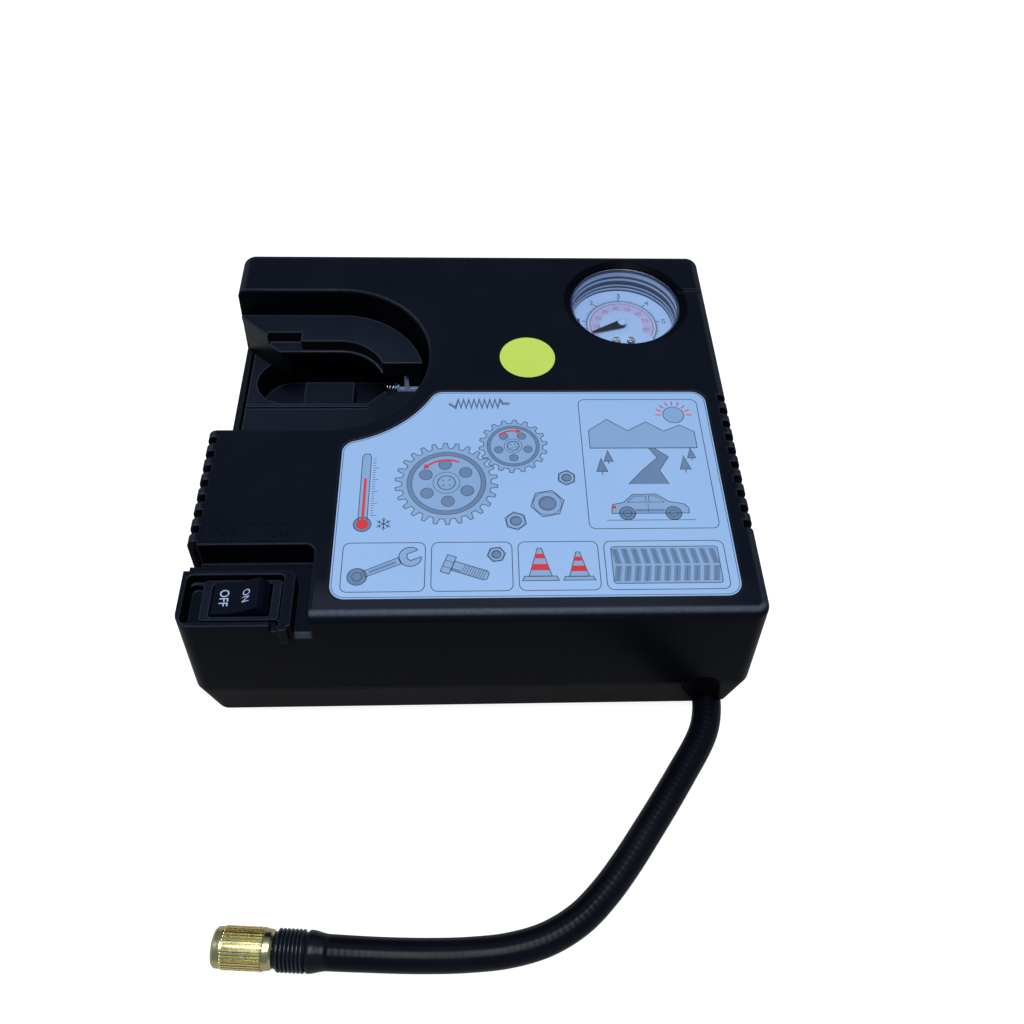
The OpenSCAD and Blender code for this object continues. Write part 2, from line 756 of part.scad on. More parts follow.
module basin_outline(extra = 0) {
    left = dock_x - 23.5;
    front = basin_front - extra;
    back = ledge_skirt_in - 2.4 + extra;
    right = dock_x + dock_r - 4 + extra;
    polygon([
        [left, front], [dock_x + 10, front], [dock_x + 16.4 + extra / 2, front + 6.2], [right, front + 6.2],
        [right, dock_y + 14], [dock_x + 24 + extra, back], [left, back]
    ]);
    translate([left, (front + back) / 2]) circle(r = (back - front) / 2);
}

module dock_floor() color(black) on_feet()
difference() {
    union() {
        intersection() {
            translate([0, 0, dock_floor_z - floor_t]) linear_extrude(floor_t) dock_outline(dock_wall);
            translate([-half_w + wall - 0.6, -half_d, 0]) cube([case_w, case_d, case_h]);
        }
        translate([0, 0, basin_z - basin_wall]) linear_extrude(basin_deep + basin_wall - 0.2)
            basin_outline(basin_wall);
        // rim along the front of the basin
        translate([-half_w + wall, basin_front - 2.9, dock_floor_z - 0.2])
            cube([dock_x + 10 + half_w - wall, 1.6, 1.3]);
        // stop for the catch's spring
        translate([catch_x - 0.7 - spring_l - 1.2, catch_y, dock_floor_z - 0.2]) cube([1.2, catch_w, 4.2]);
    }
    translate([0, 0, basin_z]) linear_extrude(case_h) difference() {
        basin_outline();
        // step on the basin's floor
        translate([dock_x - 16.7, basin_front - past]) square([20.2, 15.4 + past]);
    }
    translate([0, 0, basin_z + 9.5]) linear_extrude(case_h) basin_outline();
}

// Two-step ledge round the back of the dock, with a skirt down to the floor
module dock_ledge() color(black) on_feet()
difference() {
    union() {
        translate([0, 0, ledge_low_z]) linear_extrude(ledge_z - ledge_low_z) ledge_outline(0);
        translate([0, 0, ledge_z - ledge_t]) linear_extrude(ledge_t - 5.2) ledge_outline(0.8);
        // wall that closes the slanting left end
        translate([0, 0, dock_floor_z]) linear_extrude(ledge_z - ledge_t + 0.2 - dock_floor_z) intersection() {
            ledge_outline(0.8);
            ledge_end(2.2);
        }
        translate([0, 0, dock_floor_z]) linear_extrude(ledge_z - ledge_t - dock_floor_z) difference() {
            ledge_outline(0);
            dock_band(ledge_w - 10);
            translate([dock_x, -half_d]) square([2 * dock_r, half_d + catch_y + catch_w + 1]);
        }
    }
    // notch in the upper step
    translate([dock_x - 29.3, dock_y, ledge_low_z]) cube([13.6, ledge_in_r + 5, ledge_t]);
}

// Inside of the dock, drawn in by a distance, as a shape to cut away
module dock_band(in) {
    translate([dock_x, dock_y]) circle(r = dock_r - in, $fn = 96);
    translate([-2 * half_w, dock_y - dock_r + in]) square([2 * half_w + dock_x, 2 * (dock_r - in)]);
}

// Outline of the ledge at a distance from the dock's wall; its bend stands off the wall a little
module ledge_band(in) {
    r = dock_r - ledge_off[1] - in;
    translate([dock_x, dock_y] + ledge_off) circle(r = r, $fn = 96);
    translate([-2 * half_w, dock_y + ledge_off[1] - r]) square([2 * half_w + dock_x + ledge_off[0], 2 * r]);
}

// Line of the ledge's slanting left end, as the half plane in front of it, moved back by a distance
module ledge_end(back) {
    translate([-half_w - 0.2, dock_back - 1.5]) rotate([0, 0, -42]) translate([-30, -40 + back])
        square([60, 40]);
}

module ledge_outline(extra) {
    difference() {
        ledge_band(seat_gap);
        ledge_band(ledge_w + extra);
        translate([-2 * half_w, -half_d]) square([4 * half_w, half_d + ledge_end_y]);
        ledge_end(0);
        translate([-2 * half_w, 0]) square([half_w - 0.4, case_d]);
    }
}

module bottle_catch() color([0.62, 0.70, 0.78]) on_feet()
translate([catch_x, catch_y, dock_floor_z + free_gap]) {
    cube([catch_l, catch_w, catch_t]);
    // post with a rounded top
    translate([3.2, 0, 0]) cube([catch_post, catch_w, catch_h - catch_post / 2]);
    translate([3.2 + catch_post / 2, 0, catch_h - catch_post / 2]) rotate([-90, 0, 0])
        cylinder(d = catch_post, h = catch_w);
    // seat of the spring, with a guide pin inside the spring
    cube([0.9, catch_w, spring_axis_z - dock_floor_z - free_gap + 0.9]);
    translate([0.5, catch_w / 2, spring_axis_z - dock_floor_z - free_gap]) rotate([0, -90, 0])
        cylinder(d = catch_guide, h = 1.9);
}

module catch_spring() color(steel) on_feet() {
    r = (spring_d - spring_wire_d) / 2;
    path = helix(r, spring_l / spring_turns, spring_turns, 8, spring_wire_d);
    echo(catch_spring_least_gap = least_gap(path, 8, spring_wire_d));
    translate([catch_x - 0.35, catch_y + catch_w / 2, spring_axis_z])
        rotate([0, -90, 0]) tube(path, spring_wire_d / 2, 6);
}

// ---------------------------------------------------------------- label and sticker

module label_outline(extra = 0) {
    r = 5;
    offset(r = r, $fn = hull_fn) offset(delta = extra - r) difference() {
        translate([-half_w + label_left, -half_d + label_front])
            square([case_w - label_left - label_right, case_d - label_front - label_back]);
        translate([dock_x, dock_y]) circle(r = dock_r + label_gap, $fn = 120);
    }
}

module label_plate() color([0.80, 0.87, 0.95]) on_feet()
translate([0, 0, case_h - label_t - 0.1]) linear_extrude(label_t) label_outline();

module round_sticker() color([0.86, 0.90, 0.24]) on_feet()
translate([half_w - sticker_inset_x, half_d - sticker_inset_y, case_h]) cylinder(d = sticker_d, h = 0.15);

// ---------------------------------------------------------------- gauge

module at_gauge(z) { translate([gauge_x, gauge_y, z]) children(); }

module gauge_can() color(dark) on_feet() at_gauge(can_z) difference() {
    cylinder(r = can_r, h = gauge_can_h);
    translate([0, 0, 1.2]) cylinder(r = can_r - can_wall, h = gauge_can_h);
    rotate([0, 0, 250]) translate([can_r - 5, 0, -past]) cylinder(r = 2.2, h = 4);
    translate([0, 0, -past]) cylinder(r = arbor_r + 1, h = 1.5);
}

// Clear cup over the dial, with stepped sides
module gauge_lens() color([0.85, 0.90, 0.95, 0.4]) on_feet() at_gauge(dial_z - dial_t) {
    h = dial_deep + dial_t - 1.6;
    side = lens_r;
    rotate_extrude($fn = 96) polygon([
        [0, h - 1.6], [0, h], [side, h], [side, 0], [can_r, 0], [can_r, 2.2], [side - 0.65, 2.2],
        [side - 0.65, 4.9], [side - 0.5, 4.9], [side - 0.5, 7.4], [side - 0.35, 7.4], [side - 0.35, h - 1.6]
    ]);
}

module gauge_dial() color(white) on_feet() at_gauge(dial_z - dial_t) difference() {
    cylinder(r = can_r - seat_gap, h = dial_t, $fn = 96);
    translate([0, 0, -past]) cylinder(r = 1.4, h = 4);
    for (s = [-1, 1]) translate([s * dial_screw_x, dial_screw_y, -past]) cylinder(r = 0.85, h = 4);
}

module dial_screws() color(steel) on_feet() at_gauge(0)
for (s = [-1, 1]) translate([s * dial_screw_x, dial_screw_y, 0]) difference() {
    union() {
        translate([0, 0, dial_z]) cylinder(r1 = 2, r2 = 1.5, h = 0.9);
        translate([0, 0, plate_high_z + plate_t]) cylinder(r = 0.8, h = dial_z - plate_high_z - plate_t);
    }
    translate([0, 0, dial_z + 0.9]) cube([4, 0.5, 0.7], center = true);
}

module gauge_pointer() color([0.12, 0.12, 0.14]) on_feet() at_gauge(dial_z + 0.9)
rotate([0, 0, pointer_zero]) difference() {
    union() {
        cylinder(r = 1.7, h = 0.9);
        linear_extrude(0.6) polygon([[0, -1.9], [1.5, -1.8], [pointer_l, -0.2], [pointer_l, 0.2], [1.5, 1.8], [0, 1.9]]);
    }
    translate([0, 0, -past]) cylinder(r = arbor_r + seat_gap, h = 4);
}

// White button pressed on the arbor over the pointer
module pointer_cap() color(white) on_feet() at_gauge(dial_z + 0.9 + 0.9 + seat_gap) difference() {
    union() {
        cylinder(r = 1.9, h = 0.6);
        translate([0, 0, 0.6]) cylinder(r1 = 1.9, r2 = 1.2, h = 0.4);
    }
    translate([0, 0, -past]) cylinder(r = arbor_r + seat_gap, h = 0.5 + past);
}

module pointer_arbor() color(brass) on_feet() at_gauge(0) {
    translate([0, 0, plate_low_z - 1]) cylinder(r = arbor_r, h = dial_z + 2.2 - plate_low_z + 1);
    translate([0, 0, plate_low_z + plate_t + 0.6]) rotate([0, 0, sector_angle])
        linear_extrude(3.6) polygon(teeth(arbor_teeth, movement_module, 0, arbor_teeth - 1, 0.7, 1.1, 0.12));
}

// Toothed sector that the tube's tip would pull round
module sector_gear() color(brass) on_feet()
at_gauge(0) rotate([0, 0, sector_angle]) translate([movement_reach, 0, 0]) rotate([0, 0, 180]) {
    first = -ceil(sector_swing * sector_teeth / 360) - 2;
    last = 1;
    step = 360 / sector_teeth;
    translate([0, 0, plate_low_z + plate_t + 1]) linear_extrude(2.6) rotate([0, 0, step / 2]) polygon(concat(
        teeth(sector_teeth, movement_module, first, last, 0.6, 1.2, 0.12),
        [[1.6 * cos(step * last), 1.6 * sin(step * last) + 1], [-3.2, 1.4], [-3.2, -1.4],
         [1.6 * cos(step * first), 1.6 * sin(step * first) - 1]]
    ));
    translate([0, 0, plate_low_z - 0.6]) cylinder(r = arbor_r, h = plate_high_z - plate_low_z + plate_t + 1.2);
}

module movement_outline() {
    difference() {
        union() {
            circle(r = 4);
            rotate([0, 0, sector_angle]) translate([0, -2.5]) square([movement_reach, 5]);
            rotate([0, 0, sector_angle]) translate([movement_reach, 0]) circle(r = 2.5);
            translate([-dial_screw_x - 1.8, dial_screw_y - 1.6]) square([2 * dial_screw_x + 3.6, 10]);
            rotate([0, 0, 110]) translate([0, -2]) square([9, 4]);
        }
        circle(r = arbor_r + fit_gap);
        rotate([0, 0, sector_angle]) translate([movement_reach, 0]) circle(r = arbor_r + fit_gap);
    }
}

module movement_plates() color(brass) on_feet() at_gauge(0) {
    pillars = [[9 * cos(110) + 0.6, 9 * sin(110) - 1.5], [-dial_screw_x - 0.5, dial_screw_y + 0.3]];
    for (z = [plate_low_z, plate_high_z]) translate([0, 0, z]) linear_extrude(plate_t) movement_outline();
    for (p = pillars) translate([p[0], p[1], can_z + 1.2])
        cylinder(r = 1.1, h = plate_high_z - can_z - 1.2);
    for (s = [-1, 1]) translate([s * dial_screw_x, dial_screw_y, plate_high_z + plate_t])
        ring(1.5, 0.82, dial_z - dial_t - plate_high_z - plate_t);
}

// Flattened spring tube, closed at its tip, soldered into the stem's block
module bourdon_tube() color(copper) on_feet() at_gauge(can_z + 2) rotate([0, 0, 256])
rotate_extrude(angle = 250, $fn = 96) translate([can_r - 4.6, 0]) translate([0, 2.5]) {
    square([1.6, 3.4], center = true);
    for (s = [-1, 1]) translate([0, s * 1.7]) circle(r = 0.8);
}

module bourdon_link() color(brass) on_feet() at_gauge(can_z + 2) rotate([0, 0, 256 + 250]) {
    translate([can_r - 6.2, 0, 0.4]) cube([3.2, 1.6, 4.6]);
    translate([can_r - 6.2, 0.2, 5]) cube([1.2, 1.2, 3.2]);
}

module gauge_stem() color(brass) on_feet() at_gauge(0) {
    rotate([0, 0, 250]) translate([can_r - 7.6, -2.4, can_z + 1.2]) cube([5.6, 4, 5.6]);
    rotate([0, 0, 250]) translate([can_r - 5, 0, can_z - 3]) cylinder(r = 2.18, h = 4.3);
    translate([0, 0, can_z - 6]) difference() {
        union() {
            cylinder(r = 5.5, h = 3, $fn = 6);
            rotate([0, 0, 250]) translate([0, -2.2, 0]) cube([can_r - 3, 4.4, 3]);
        }
        translate([0, 0, -past]) cylinder(r = 1.2, h = 3);
    }
    translate([0, 0, can_z - 3]) cylinder(r = 4, h = 3);
    translate([0, 0, stem_z + 0.02]) cylinder(r = 2.4, h = can_z - 6 - stem_z - 0.02);
}

module gauge_tube() color(rubber) on_feet() tube(gauge_route, tube_d / 2, 8);

// ---------------------------------------------------------------- switch and wires

module switch_body() color(rubber) on_feet() translate([switch_x, switch_y, 0]) difference() {
    union() {
        translate([0, 0, tray_floor_z]) linear_extrude(bezel_t) rounded_square(bezel_l, bezel_w, 1.2);
        translate([0, 0, tray_floor_z - switch_h]) linear_extrude(switch_h)
            square([bezel_l - 3, bezel_w - 1.2], center = true);
    }
    translate([0, 0, tray_floor_z - 7]) linear_extrude(case_h)
        rounded_square(rocker_l + 2 * rocker_gap, rocker_w + 2 * rocker_gap, 1);
    translate([0, 0, rocker_axis_z]) rotate([90, 0, 0])
        cylinder(r = rocker_pin_r + fit_gap, h = rocker_w + 2 * rocker_gap + 1.4, center = true);
}

// At rest the left, off, end is pressed down
module switch_rocker() color([0.09, 0.09, 0.10]) on_feet()
translate([switch_x, switch_y, rocker_axis_z]) rotate([0, -rocker_turn / 2, 0]) rotate([90, 0, 0]) {
    h = rocker_l / 2;
    linear_extrude(rocker_w, center = true) polygon([
        [-h, 0], [-h + 0.4, 3.2], [-h + 1, 4.7], [-h + 1.8, 5.1], [-1.5, 4], [1.5, 4], [h - 2.2, 5.1],
        [h - 1.5, 4.9], [h - 0.5, 3], [h, 0], [h - 2.7, -2.6], [-h + 2.7, -2.6]
    ]);
    cylinder(r = rocker_pin_r, h = rocker_w + 2 * rocker_gap + 1, center = true);
}

module switch_terminals() color(steel) on_feet()
for (s = [-1, 1]) translate([switch_x + s * 5, switch_y, tray_floor_z - switch_h - 9])
    translate([-0.4, -2.4, 0]) cube([0.8, 4.8, 9]);

module wiring() color([0.55, 0.10, 0.08]) on_feet() {
    for (route = [wire_to_switch, wire_to_motor, switch_to_motor]) tube(route, wire_d / 2, 8);
}

// ---------------------------------------------------------------- motor

module motor_can() color(alloy) on_feet() motor_line(motor_x) difference() {
    cylinder(r = motor_r, h = motor_l);
    translate([0, 0, 1.6]) cylinder(r = motor_r - motor_wall, h = motor_l);
    translate([0, 0, -past]) cylinder(r = bushing_r, h = 4);
    for (s = [-1, 1]) translate([s * 11, 0, -past]) cylinder(r = 1.3, h = 4);
}

module motor_end_cap() color(dark) on_feet() motor_line(motor_end) difference() {
    union() {
        cylinder(r = motor_r, h = motor_cap_t);
        translate([0, 0, -5]) ring(motor_r - motor_wall - seat_gap, motor_r - motor_wall - 2, 5 + past);
        // terminal blocks
        for (s = [-1, 1]) translate([-3, s * 8 - 3, motor_cap_t]) cube([6, 6, 2]);
    }
    translate([0, 0, -past]) cylinder(r = bushing_r, h = 12);
    // slots that hold the brushes
    for (s = [-1, 1]) translate([-2.1, s * 10.7 - 5.4, -past]) cube([4.2, 10.8, 3]);
}

module motor_magnets() color([0.20, 0.20, 0.21]) on_feet() motor_line(motor_x + 6) difference() {
    ring(motor_r - motor_wall - seat_gap, motor_r - motor_wall - 3.2, motor_l - 14);
    translate([-4, -motor_r, -past]) cube([8, motor_d, motor_l]);
}

module motor_shaft() color(steel) on_feet()
motor_line(gear_x - 2) cylinder(r = shaft_r, h = motor_end + motor_cap_t - gear_x + 1);

module motor_core() color(copper) on_feet() motor_line(motor_x + 8) difference() {
    core_r = motor_r - motor_wall - 4;
    union() {
        translate([0, 0, 3]) cylinder(r = core_r, h = motor_l - 24);
        cylinder(r = core_r - 2.4, h = motor_l - 18);
    }
    translate([0, 0, -past]) cylinder(r = shaft_r + seat_gap, h = motor_l);
    for (a = [0 : 72 : 288]) rotate([0, 0, a]) translate([core_r - 2, -0.8, 0]) cube([4, 1.6, motor_l]);
}

module commutator() color(copper) on_feet() motor_line(motor_end - 7.6) difference() {
    cylinder(r = 5.4, h = 6.4);
    translate([0, 0, -past]) cylinder(r = shaft_r + seat_gap, h = 9);
    for (a = [36 : 72 : 324]) rotate([0, 0, a]) translate([4.4, -0.3, -past]) cube([3, 0.6, 9]);
}

module motor_brushes() color([0.25, 0.25, 0.26]) on_feet() motor_line(motor_end - 4)
for (s = [-1, 1]) translate([-2, s > 0 ? 5.7 : -15.2, 0]) cube([4, 9.5, 5.9]);

module motor_bushings() color(brass) on_feet() {
    motor_line(motor_x - 1) ring(bushing_r - seat_gap, shaft_r + fit_gap, 5);
    motor_line(motor_end + 0.4) ring(bushing_r - seat_gap, shaft_r + fit_gap, motor_cap_t - 1);
}

module motor_pinion() color(brass) on_feet() side_on(gear_x - 1)
translate([motor_y, drive_z]) linear_extrude(gear_t + 1) rotate([0, 0, 180 / pinion_teeth]) difference() {
    polygon(teeth(pinion_teeth, gear_module, 0, pinion_teeth - 1, 0.8, 1.1, 0.06));
    circle(r = shaft_r + seat_gap);
}

module motor_dampers() color(rubber) on_feet()
for (x = [motor_x + 9, motor_end - 10]) motor_line(x - 4) difference() {
    ring(motor_r + 2, motor_r + seat_gap, 8);
    translate([0, 0, 2]) difference() {
        cylinder(r = motor_r + 3, h = 4);
        translate([0, 0, -past]) cylinder(r = motor_r + 1.4, h = 6);
    }
}

// ---------------------------------------------------------------- pump

module pump_body() color(alloy) on_feet() difference() {
    union() {
        side_on(plate_x) linear_extrude(body_t) {
            translate([motor_y, drive_z]) circle(r = motor_r - 1);
            translate([motor_y, drive_z - 14]) square([cylinder_y + 3 - motor_y, 28]);
        }
        crank_line(plate_x) cylinder(r = bearing_r + 2, h = bearing_l);
        translate([rod_x - flange_r, cylinder_y, drive_z - flange_r])
            cube([plate_x + body_t - rod_x + flange_r, 3, 2 * flange_r]);
    }
    motor_line(plate_x - past) cylinder(r = bushing_r + 1.6, h = 2 * body_t);
    for (s = [-1, 1]) translate([0, 0, s * 11]) motor_line(plate_x - past) cylinder(r = 1.65, h = 2 * body_t);
    crank_line(plate_x - past) cylinder(r = bearing_r, h = bearing_l + 2 * past);
    bore_line(cylinder_y - past) cylinder(r = cylinder_r + seat_gap, h = 6);
}

module pump_screws() color(steel) on_feet()
for (s = [-1, 1]) translate([0, 0, s * 11]) motor_line(plate_x) {
    translate([0, 0, -1.2]) cylinder(r = 2.6, h = 1.2);
    cylinder(r = 1.25, h = body_t + 3.2);
}

module crank_bearing() color(brass) on_feet()
crank_line(plate_x) ring(bearing_r - seat_gap, axle_r + fit_gap, bearing_l);

module crank_axle() color(steel) on_feet()
crank_line(gear_x + 0.2) cylinder(r = axle_r, h = plate_x + bearing_l + 0.8 - gear_x);

// Toothed wheel with a crank web and counterweight on its pump side
module crank_gear() color(alloy) on_feet() difference() {
    union() {
        side_on(gear_x) translate([crank_y, drive_z]) linear_extrude(gear_t)
            polygon(teeth(crank_teeth, gear_module, 0, crank_teeth - 1, 0.78, 1.1, 0.06));
        crank_line(gear_x - web_t) cylinder(r = 11, h = web_t + 0.2);
        side_on(gear_x - web_t) translate([crank_y, drive_z]) linear_extrude(web_t + 0.2) intersection() {
            circle(r = 18);
            translate([2, -20]) square([20, 40]);
        }
    }
    crank_line(gear_x + 0.2) cylinder(r = axle_r + seat_gap, h = gear_t + past);
    side_on(gear_x - 2 * web_t) translate([crank_y - stroke / 2, drive_z]) cylinder(r = crank_pin_r + seat_gap, h = 2 * web_t + 3);
    // lightening holes
    for (a = [70, 110, 250, 290]) side_on(gear_x - 2 * web_t)
        translate([crank_y + 15 * cos(a), drive_z + 15 * sin(a)]) cylinder(r = 2.6, h = gear_t + 3 * web_t);
}

// The pin ends just short of the rod, where the linkage is opened
module crank_pin() color(steel) on_feet()
side_on(rod_x + rod_t / 2 + free_gap) translate([crank_y - stroke / 2, drive_z])
    cylinder(r = crank_pin_r, h = gear_x + 3 - rod_x - rod_t / 2 - free_gap - past);

module connecting_rod() color(alloy) on_feet() difference() {
    union() {
        side_on(rod_x - rod_t / 2) translate([rod_y, drive_z]) cylinder(r = crank_pin_r + 2.6, h = rod_t);
        translate([rod_x - rod_t / 2, rod_y, drive_z - 3.2]) cube([rod_t, piston_top - piston_t - rod_y + 1, 6.4]);
        bore_line(piston_top - piston_t) cylinder(r = bore_r - 0.6, h = piston_t);
        bore_line(piston_top) cylinder(r = bore_r - 3, h = seal_t + 1);
    }
    side_on(rod_x - rod_t) translate([rod_y, drive_z]) cylinder(r = crank_pin_r + fit_gap, h = 2 * rod_t);
}

module piston_seal() color(white) on_feet()
bore_line(piston_top) ring(bore_r - fit_gap, bore_r - 3 + seat_gap, seal_t);

module cylinder_fins() {
    for (i = [0 : 3]) translate([0, 0, 9 + i * 4.6]) cylinder(r = cylinder_r + 2.4, h = 1.4);
}

module cylinder_part() {
    difference() {
        union() {
            cylinder(r = cylinder_r, h = cylinder_l);
            translate([0, 0, 3]) cylinder(r = flange_r - 1, h = 2.4);
            cylinder_fins();
            translate([0, 0, cylinder_l - flange_t]) cylinder(r = flange_r, h = flange_t);
        }
        translate([0, 0, -past]) cylinder(r = bore_r, h = cylinder_l + 2 * past);
        for (a = [45 : 90 : 315]) rotate([0, 0, a])
            translate([head_screw_r, 0, cylinder_l - flange_t - past]) cylinder(r = 1.3, h = flange_t + 2 * past);
    }
}

module cylinder_body() color(alloy) on_feet() bore_line(cylinder_y) cylinder_part();

module valve_plate() color(steel) on_feet() bore_line(head_y) difference() {
    cylinder(r = flange_r, h = valve_t);
    translate([4, 0, -past]) cylinder(r = 1.5, h = 4);
    translate([-4, 0, -past]) cylinder(r = 1.5, h = 4);
    for (a = [45 : 90 : 315]) rotate([0, 0, a]) translate([head_screw_r, 0, -past]) cylinder(r = 1.3, h = 4);
}

module cylinder_head() color(alloy) on_feet() bore_line(head_y + valve_t) difference() {
    union() {
        cylinder(r = flange_r, h = head_l);
        translate([0, flange_r - 2, head_l / 2]) rotate([-90, 0, 0]) cylinder(r = tube_d / 2, h = 7);
    }
    translate([0, 0, -past]) cylinder(r = bore_r - 1, h = head_l - 2);
    translate([0, 0, head_l / 2]) rotate([-90, 0, 0]) cylinder(r = 1.4, h = 2 * flange_r);
    for (a = [45 : 90 : 315]) rotate([0, 0, a]) translate([head_screw_r, 0, -past]) cylinder(r = 1.3, h = head_l + 3);
}

module head_screws() color(steel) on_feet() bore_line(head_y - flange_t)
for (a = [45 : 90 : 315]) rotate([0, 0, a]) translate([head_screw_r, 0, 0]) {
    cylinder(r = 1.25, h = flange_t + valve_t + head_l);
    translate([0, 0, flange_t + valve_t + head_l]) cylinder(r = 2.3, h = 1.8);
}

module outlet_tube() color(rubber) on_feet() tube(outlet_route, tube_d / 2, 8);

// Block that joins the pump, the gauge and the hose
module air_manifold() color(alloy) on_feet() translate([hose_x, 0, 0]) difference() {
    union() {
        translate([-manifold_w / 2, manifold_y, wall]) cube([manifold_w, manifold_d, manifold_z - wall]);
        translate([-manifold_w / 2 + past, manifold_y + manifold_d / 2, 8]) rotate([0, -90, 0])
            cylinder(r = 2.4, h = 5 + past);
        translate([0, manifold_y + manifold_d - past, 8]) rotate([-90, 0, 0]) cylinder(r = 2.4, h = 6 + past);
    }
    translate([0, manifold_y - past, barb_z]) rotate([-90, 0, 0]) cylinder(r = 3.2, h = 7);
}

// ---------------------------------------------------------------- hose and coupling

// Threaded shank and collar that the hose starts from, in the channel's end wall
module hose_barb() color(brass) on_feet() translate([hose_x, barb_y, barb_z]) rotate([-90, 0, 0]) {
    cylinder(r = hose_r - 0.4, h = 2);
    translate([0, 0, 2]) cylinder(r = 5.4, h = channel_back - barb_y - 2, $fn = 6);
    translate([0, 0, channel_back - barb_y]) cylinder(r = 3.15, h = channel_wall + 5);
}

module air_hose() color(rubber) tube(hose_route, hose_r, hose_sides);

// The hose's end, swollen over the coupling's tail
module hose_sleeve() color(rubber) coupling_line(0.02) rotate_extrude() polygon([
    [0, 0], [hose_r, 0], [hose_r + 0.4, 2.6], [hose_r + 1.1, 4.8], [hose_r + 1.1, binding_start - 0.8],
    [binding_core_r, binding_start - 0.5], [binding_core_r, sleeve_l - 0.6], [binding_core_r - 0.5, sleeve_l], [0, sleeve_l]
]);

module hose_binding() color([0.42, 0.45, 0.50]) {
    r = binding_core_r + binding_wire_d / 2 + 0.04;
    path = helix(r, binding_pitch, binding_turns, 24, binding_wire_d);
    echo(hose_binding_least_gap = least_gap(path, 24, binding_wire_d));
    coupling_line(binding_start + 0.2) tube(path, binding_wire_d / 2, 6);
}

module coupling_stem() color(brass) coupling_line(sleeve_l) {
    translate([0, 0, 0.02]) cylinder(r = stem_r, h = 4);
    translate([0, 0, nut_start + 3 - sleeve_l]) cylinder(r = 4.6, h = 2);
    translate([0, 0, 4]) cylinder(r = 0.8, h = nut_start + nut_chamber - sleeve_l - 4.1);
}

module coupling_seal() color(rubber)
coupling_line(nut_start + 5.01) ring(4.5, 1.2, 2.2);

// Loose nut with the thread for a tyre valve: two smooth collars and a straight knurl
module coupling_nut() color(brass) coupling_line(nut_start) difference() {
    r = coupling_d / 2;
    collar = 2.6;
    union() {
        rotate_extrude() polygon([
            [0, 0], [r - 1.1, 0], [r - 0.5, 0.8], [r - 0.3, collar], [r - 0.4, collar + 0.6],
            [r - 0.4, coupling_l - collar - 0.6], [r - 0.3, coupling_l - collar], [r - 0.4, coupling_l - 0.7],
            [r - 1.0, coupling_l], [0, coupling_l]
        ]);
        translate([0, 0, collar + 0.4]) linear_extrude(coupling_l - 2 * collar - 0.8) polygon([
            for (i = [0 : knurls - 1], k = [[0, -0.55], [0, 0.1], [0.5, 0.1], [0.5, -0.55]])
                let (a = (i + k[0]) * 360 / knurls, s = r + k[1] - 0.1) [s * cos(a), s * sin(a)]
        ]);
    }
    translate([0, 0, -past]) cylinder(r = stem_r + fit_gap, h = 4);
    translate([0, 0, 2.6]) cylinder(r = 4.9, h = nut_chamber - 2.6);
    translate([0, 0, 4]) cylinder(r = coupling_bore_r, h = coupling_l);
    translate([0, 0, coupling_l - 0.8]) cylinder(r1 = coupling_bore_r, r2 = coupling_bore_r + 0.9, h = 0.9);
}

upper_shell();
lower_shell();
feet();
case_screws();
power_gland();
dock_floor();
dock_ledge();
bottle_catch();
catch_spring();
label_plate();
round_sticker();
gauge_can();
gauge_lens();
gauge_dial();
dial_screws();
gauge_pointer();
pointer_cap();
pointer_arbor();
sector_gear();
movement_plates();
bourdon_tube();
bourdon_link();
gauge_stem();
gauge_tube();
switch_body();
switch_rocker();
switch_terminals();
wiring();
motor_can();
motor_end_cap();
motor_magnets();
motor_shaft();
motor_core();
commutator();
motor_brushes();
motor_bushings();
motor_pinion();
motor_dampers();
pump_body();
pump_screws();
crank_bearing();
crank_axle();
crank_gear();
crank_pin();
connecting_rod();
piston_seal();
cylinder_body();  // cylinder
valve_plate();
cylinder_head();
head_screws();
outlet_tube();
air_manifold();
hose_barb();
air_hose();
hose_sleeve();
hose_binding();
coupling_stem();
coupling_seal();
coupling_nut();
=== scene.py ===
import math
import bpy
from mathutils import Matrix, Vector


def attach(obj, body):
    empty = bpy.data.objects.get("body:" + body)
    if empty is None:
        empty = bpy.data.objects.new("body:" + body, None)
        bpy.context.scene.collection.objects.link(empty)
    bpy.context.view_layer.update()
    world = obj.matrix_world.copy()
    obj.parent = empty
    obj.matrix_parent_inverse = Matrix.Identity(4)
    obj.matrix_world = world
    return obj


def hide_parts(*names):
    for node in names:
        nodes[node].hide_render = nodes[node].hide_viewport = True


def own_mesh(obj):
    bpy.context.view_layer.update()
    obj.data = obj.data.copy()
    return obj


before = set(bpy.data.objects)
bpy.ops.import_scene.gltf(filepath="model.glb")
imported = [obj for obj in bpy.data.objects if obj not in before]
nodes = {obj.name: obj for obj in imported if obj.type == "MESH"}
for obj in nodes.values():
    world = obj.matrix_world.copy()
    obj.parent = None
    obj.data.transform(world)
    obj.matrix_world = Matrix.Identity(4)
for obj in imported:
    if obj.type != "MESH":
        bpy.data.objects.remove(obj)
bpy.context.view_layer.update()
scene = bpy.context.scene

# a length is in mm where MM multiplies it, also inside helix, words and Print; else in metres
MM = 0.001
GX, GY, DIAL_Z = 60.8, 56.85, 58.6      # the gauge's axis and the dial's face
HOSE_R = 5.2
HOSE_END = (-47, -167.8, 6.5)           # where the coupling starts
HEADING = math.radians(176)             # of the coupling, seen from above
TIP = Vector(HOSE_END) * MM
TIP_AXIS = Vector((math.cos(HEADING), math.sin(HEADING), 0))


# ------------------------------------------------------- camera, at the photograph's angle

PITCH, YAW, ROLL = math.radians(54.174), math.radians(-4.082), math.radians(2.95)
EYE = (-0.000753, -0.231103, 0.329011)


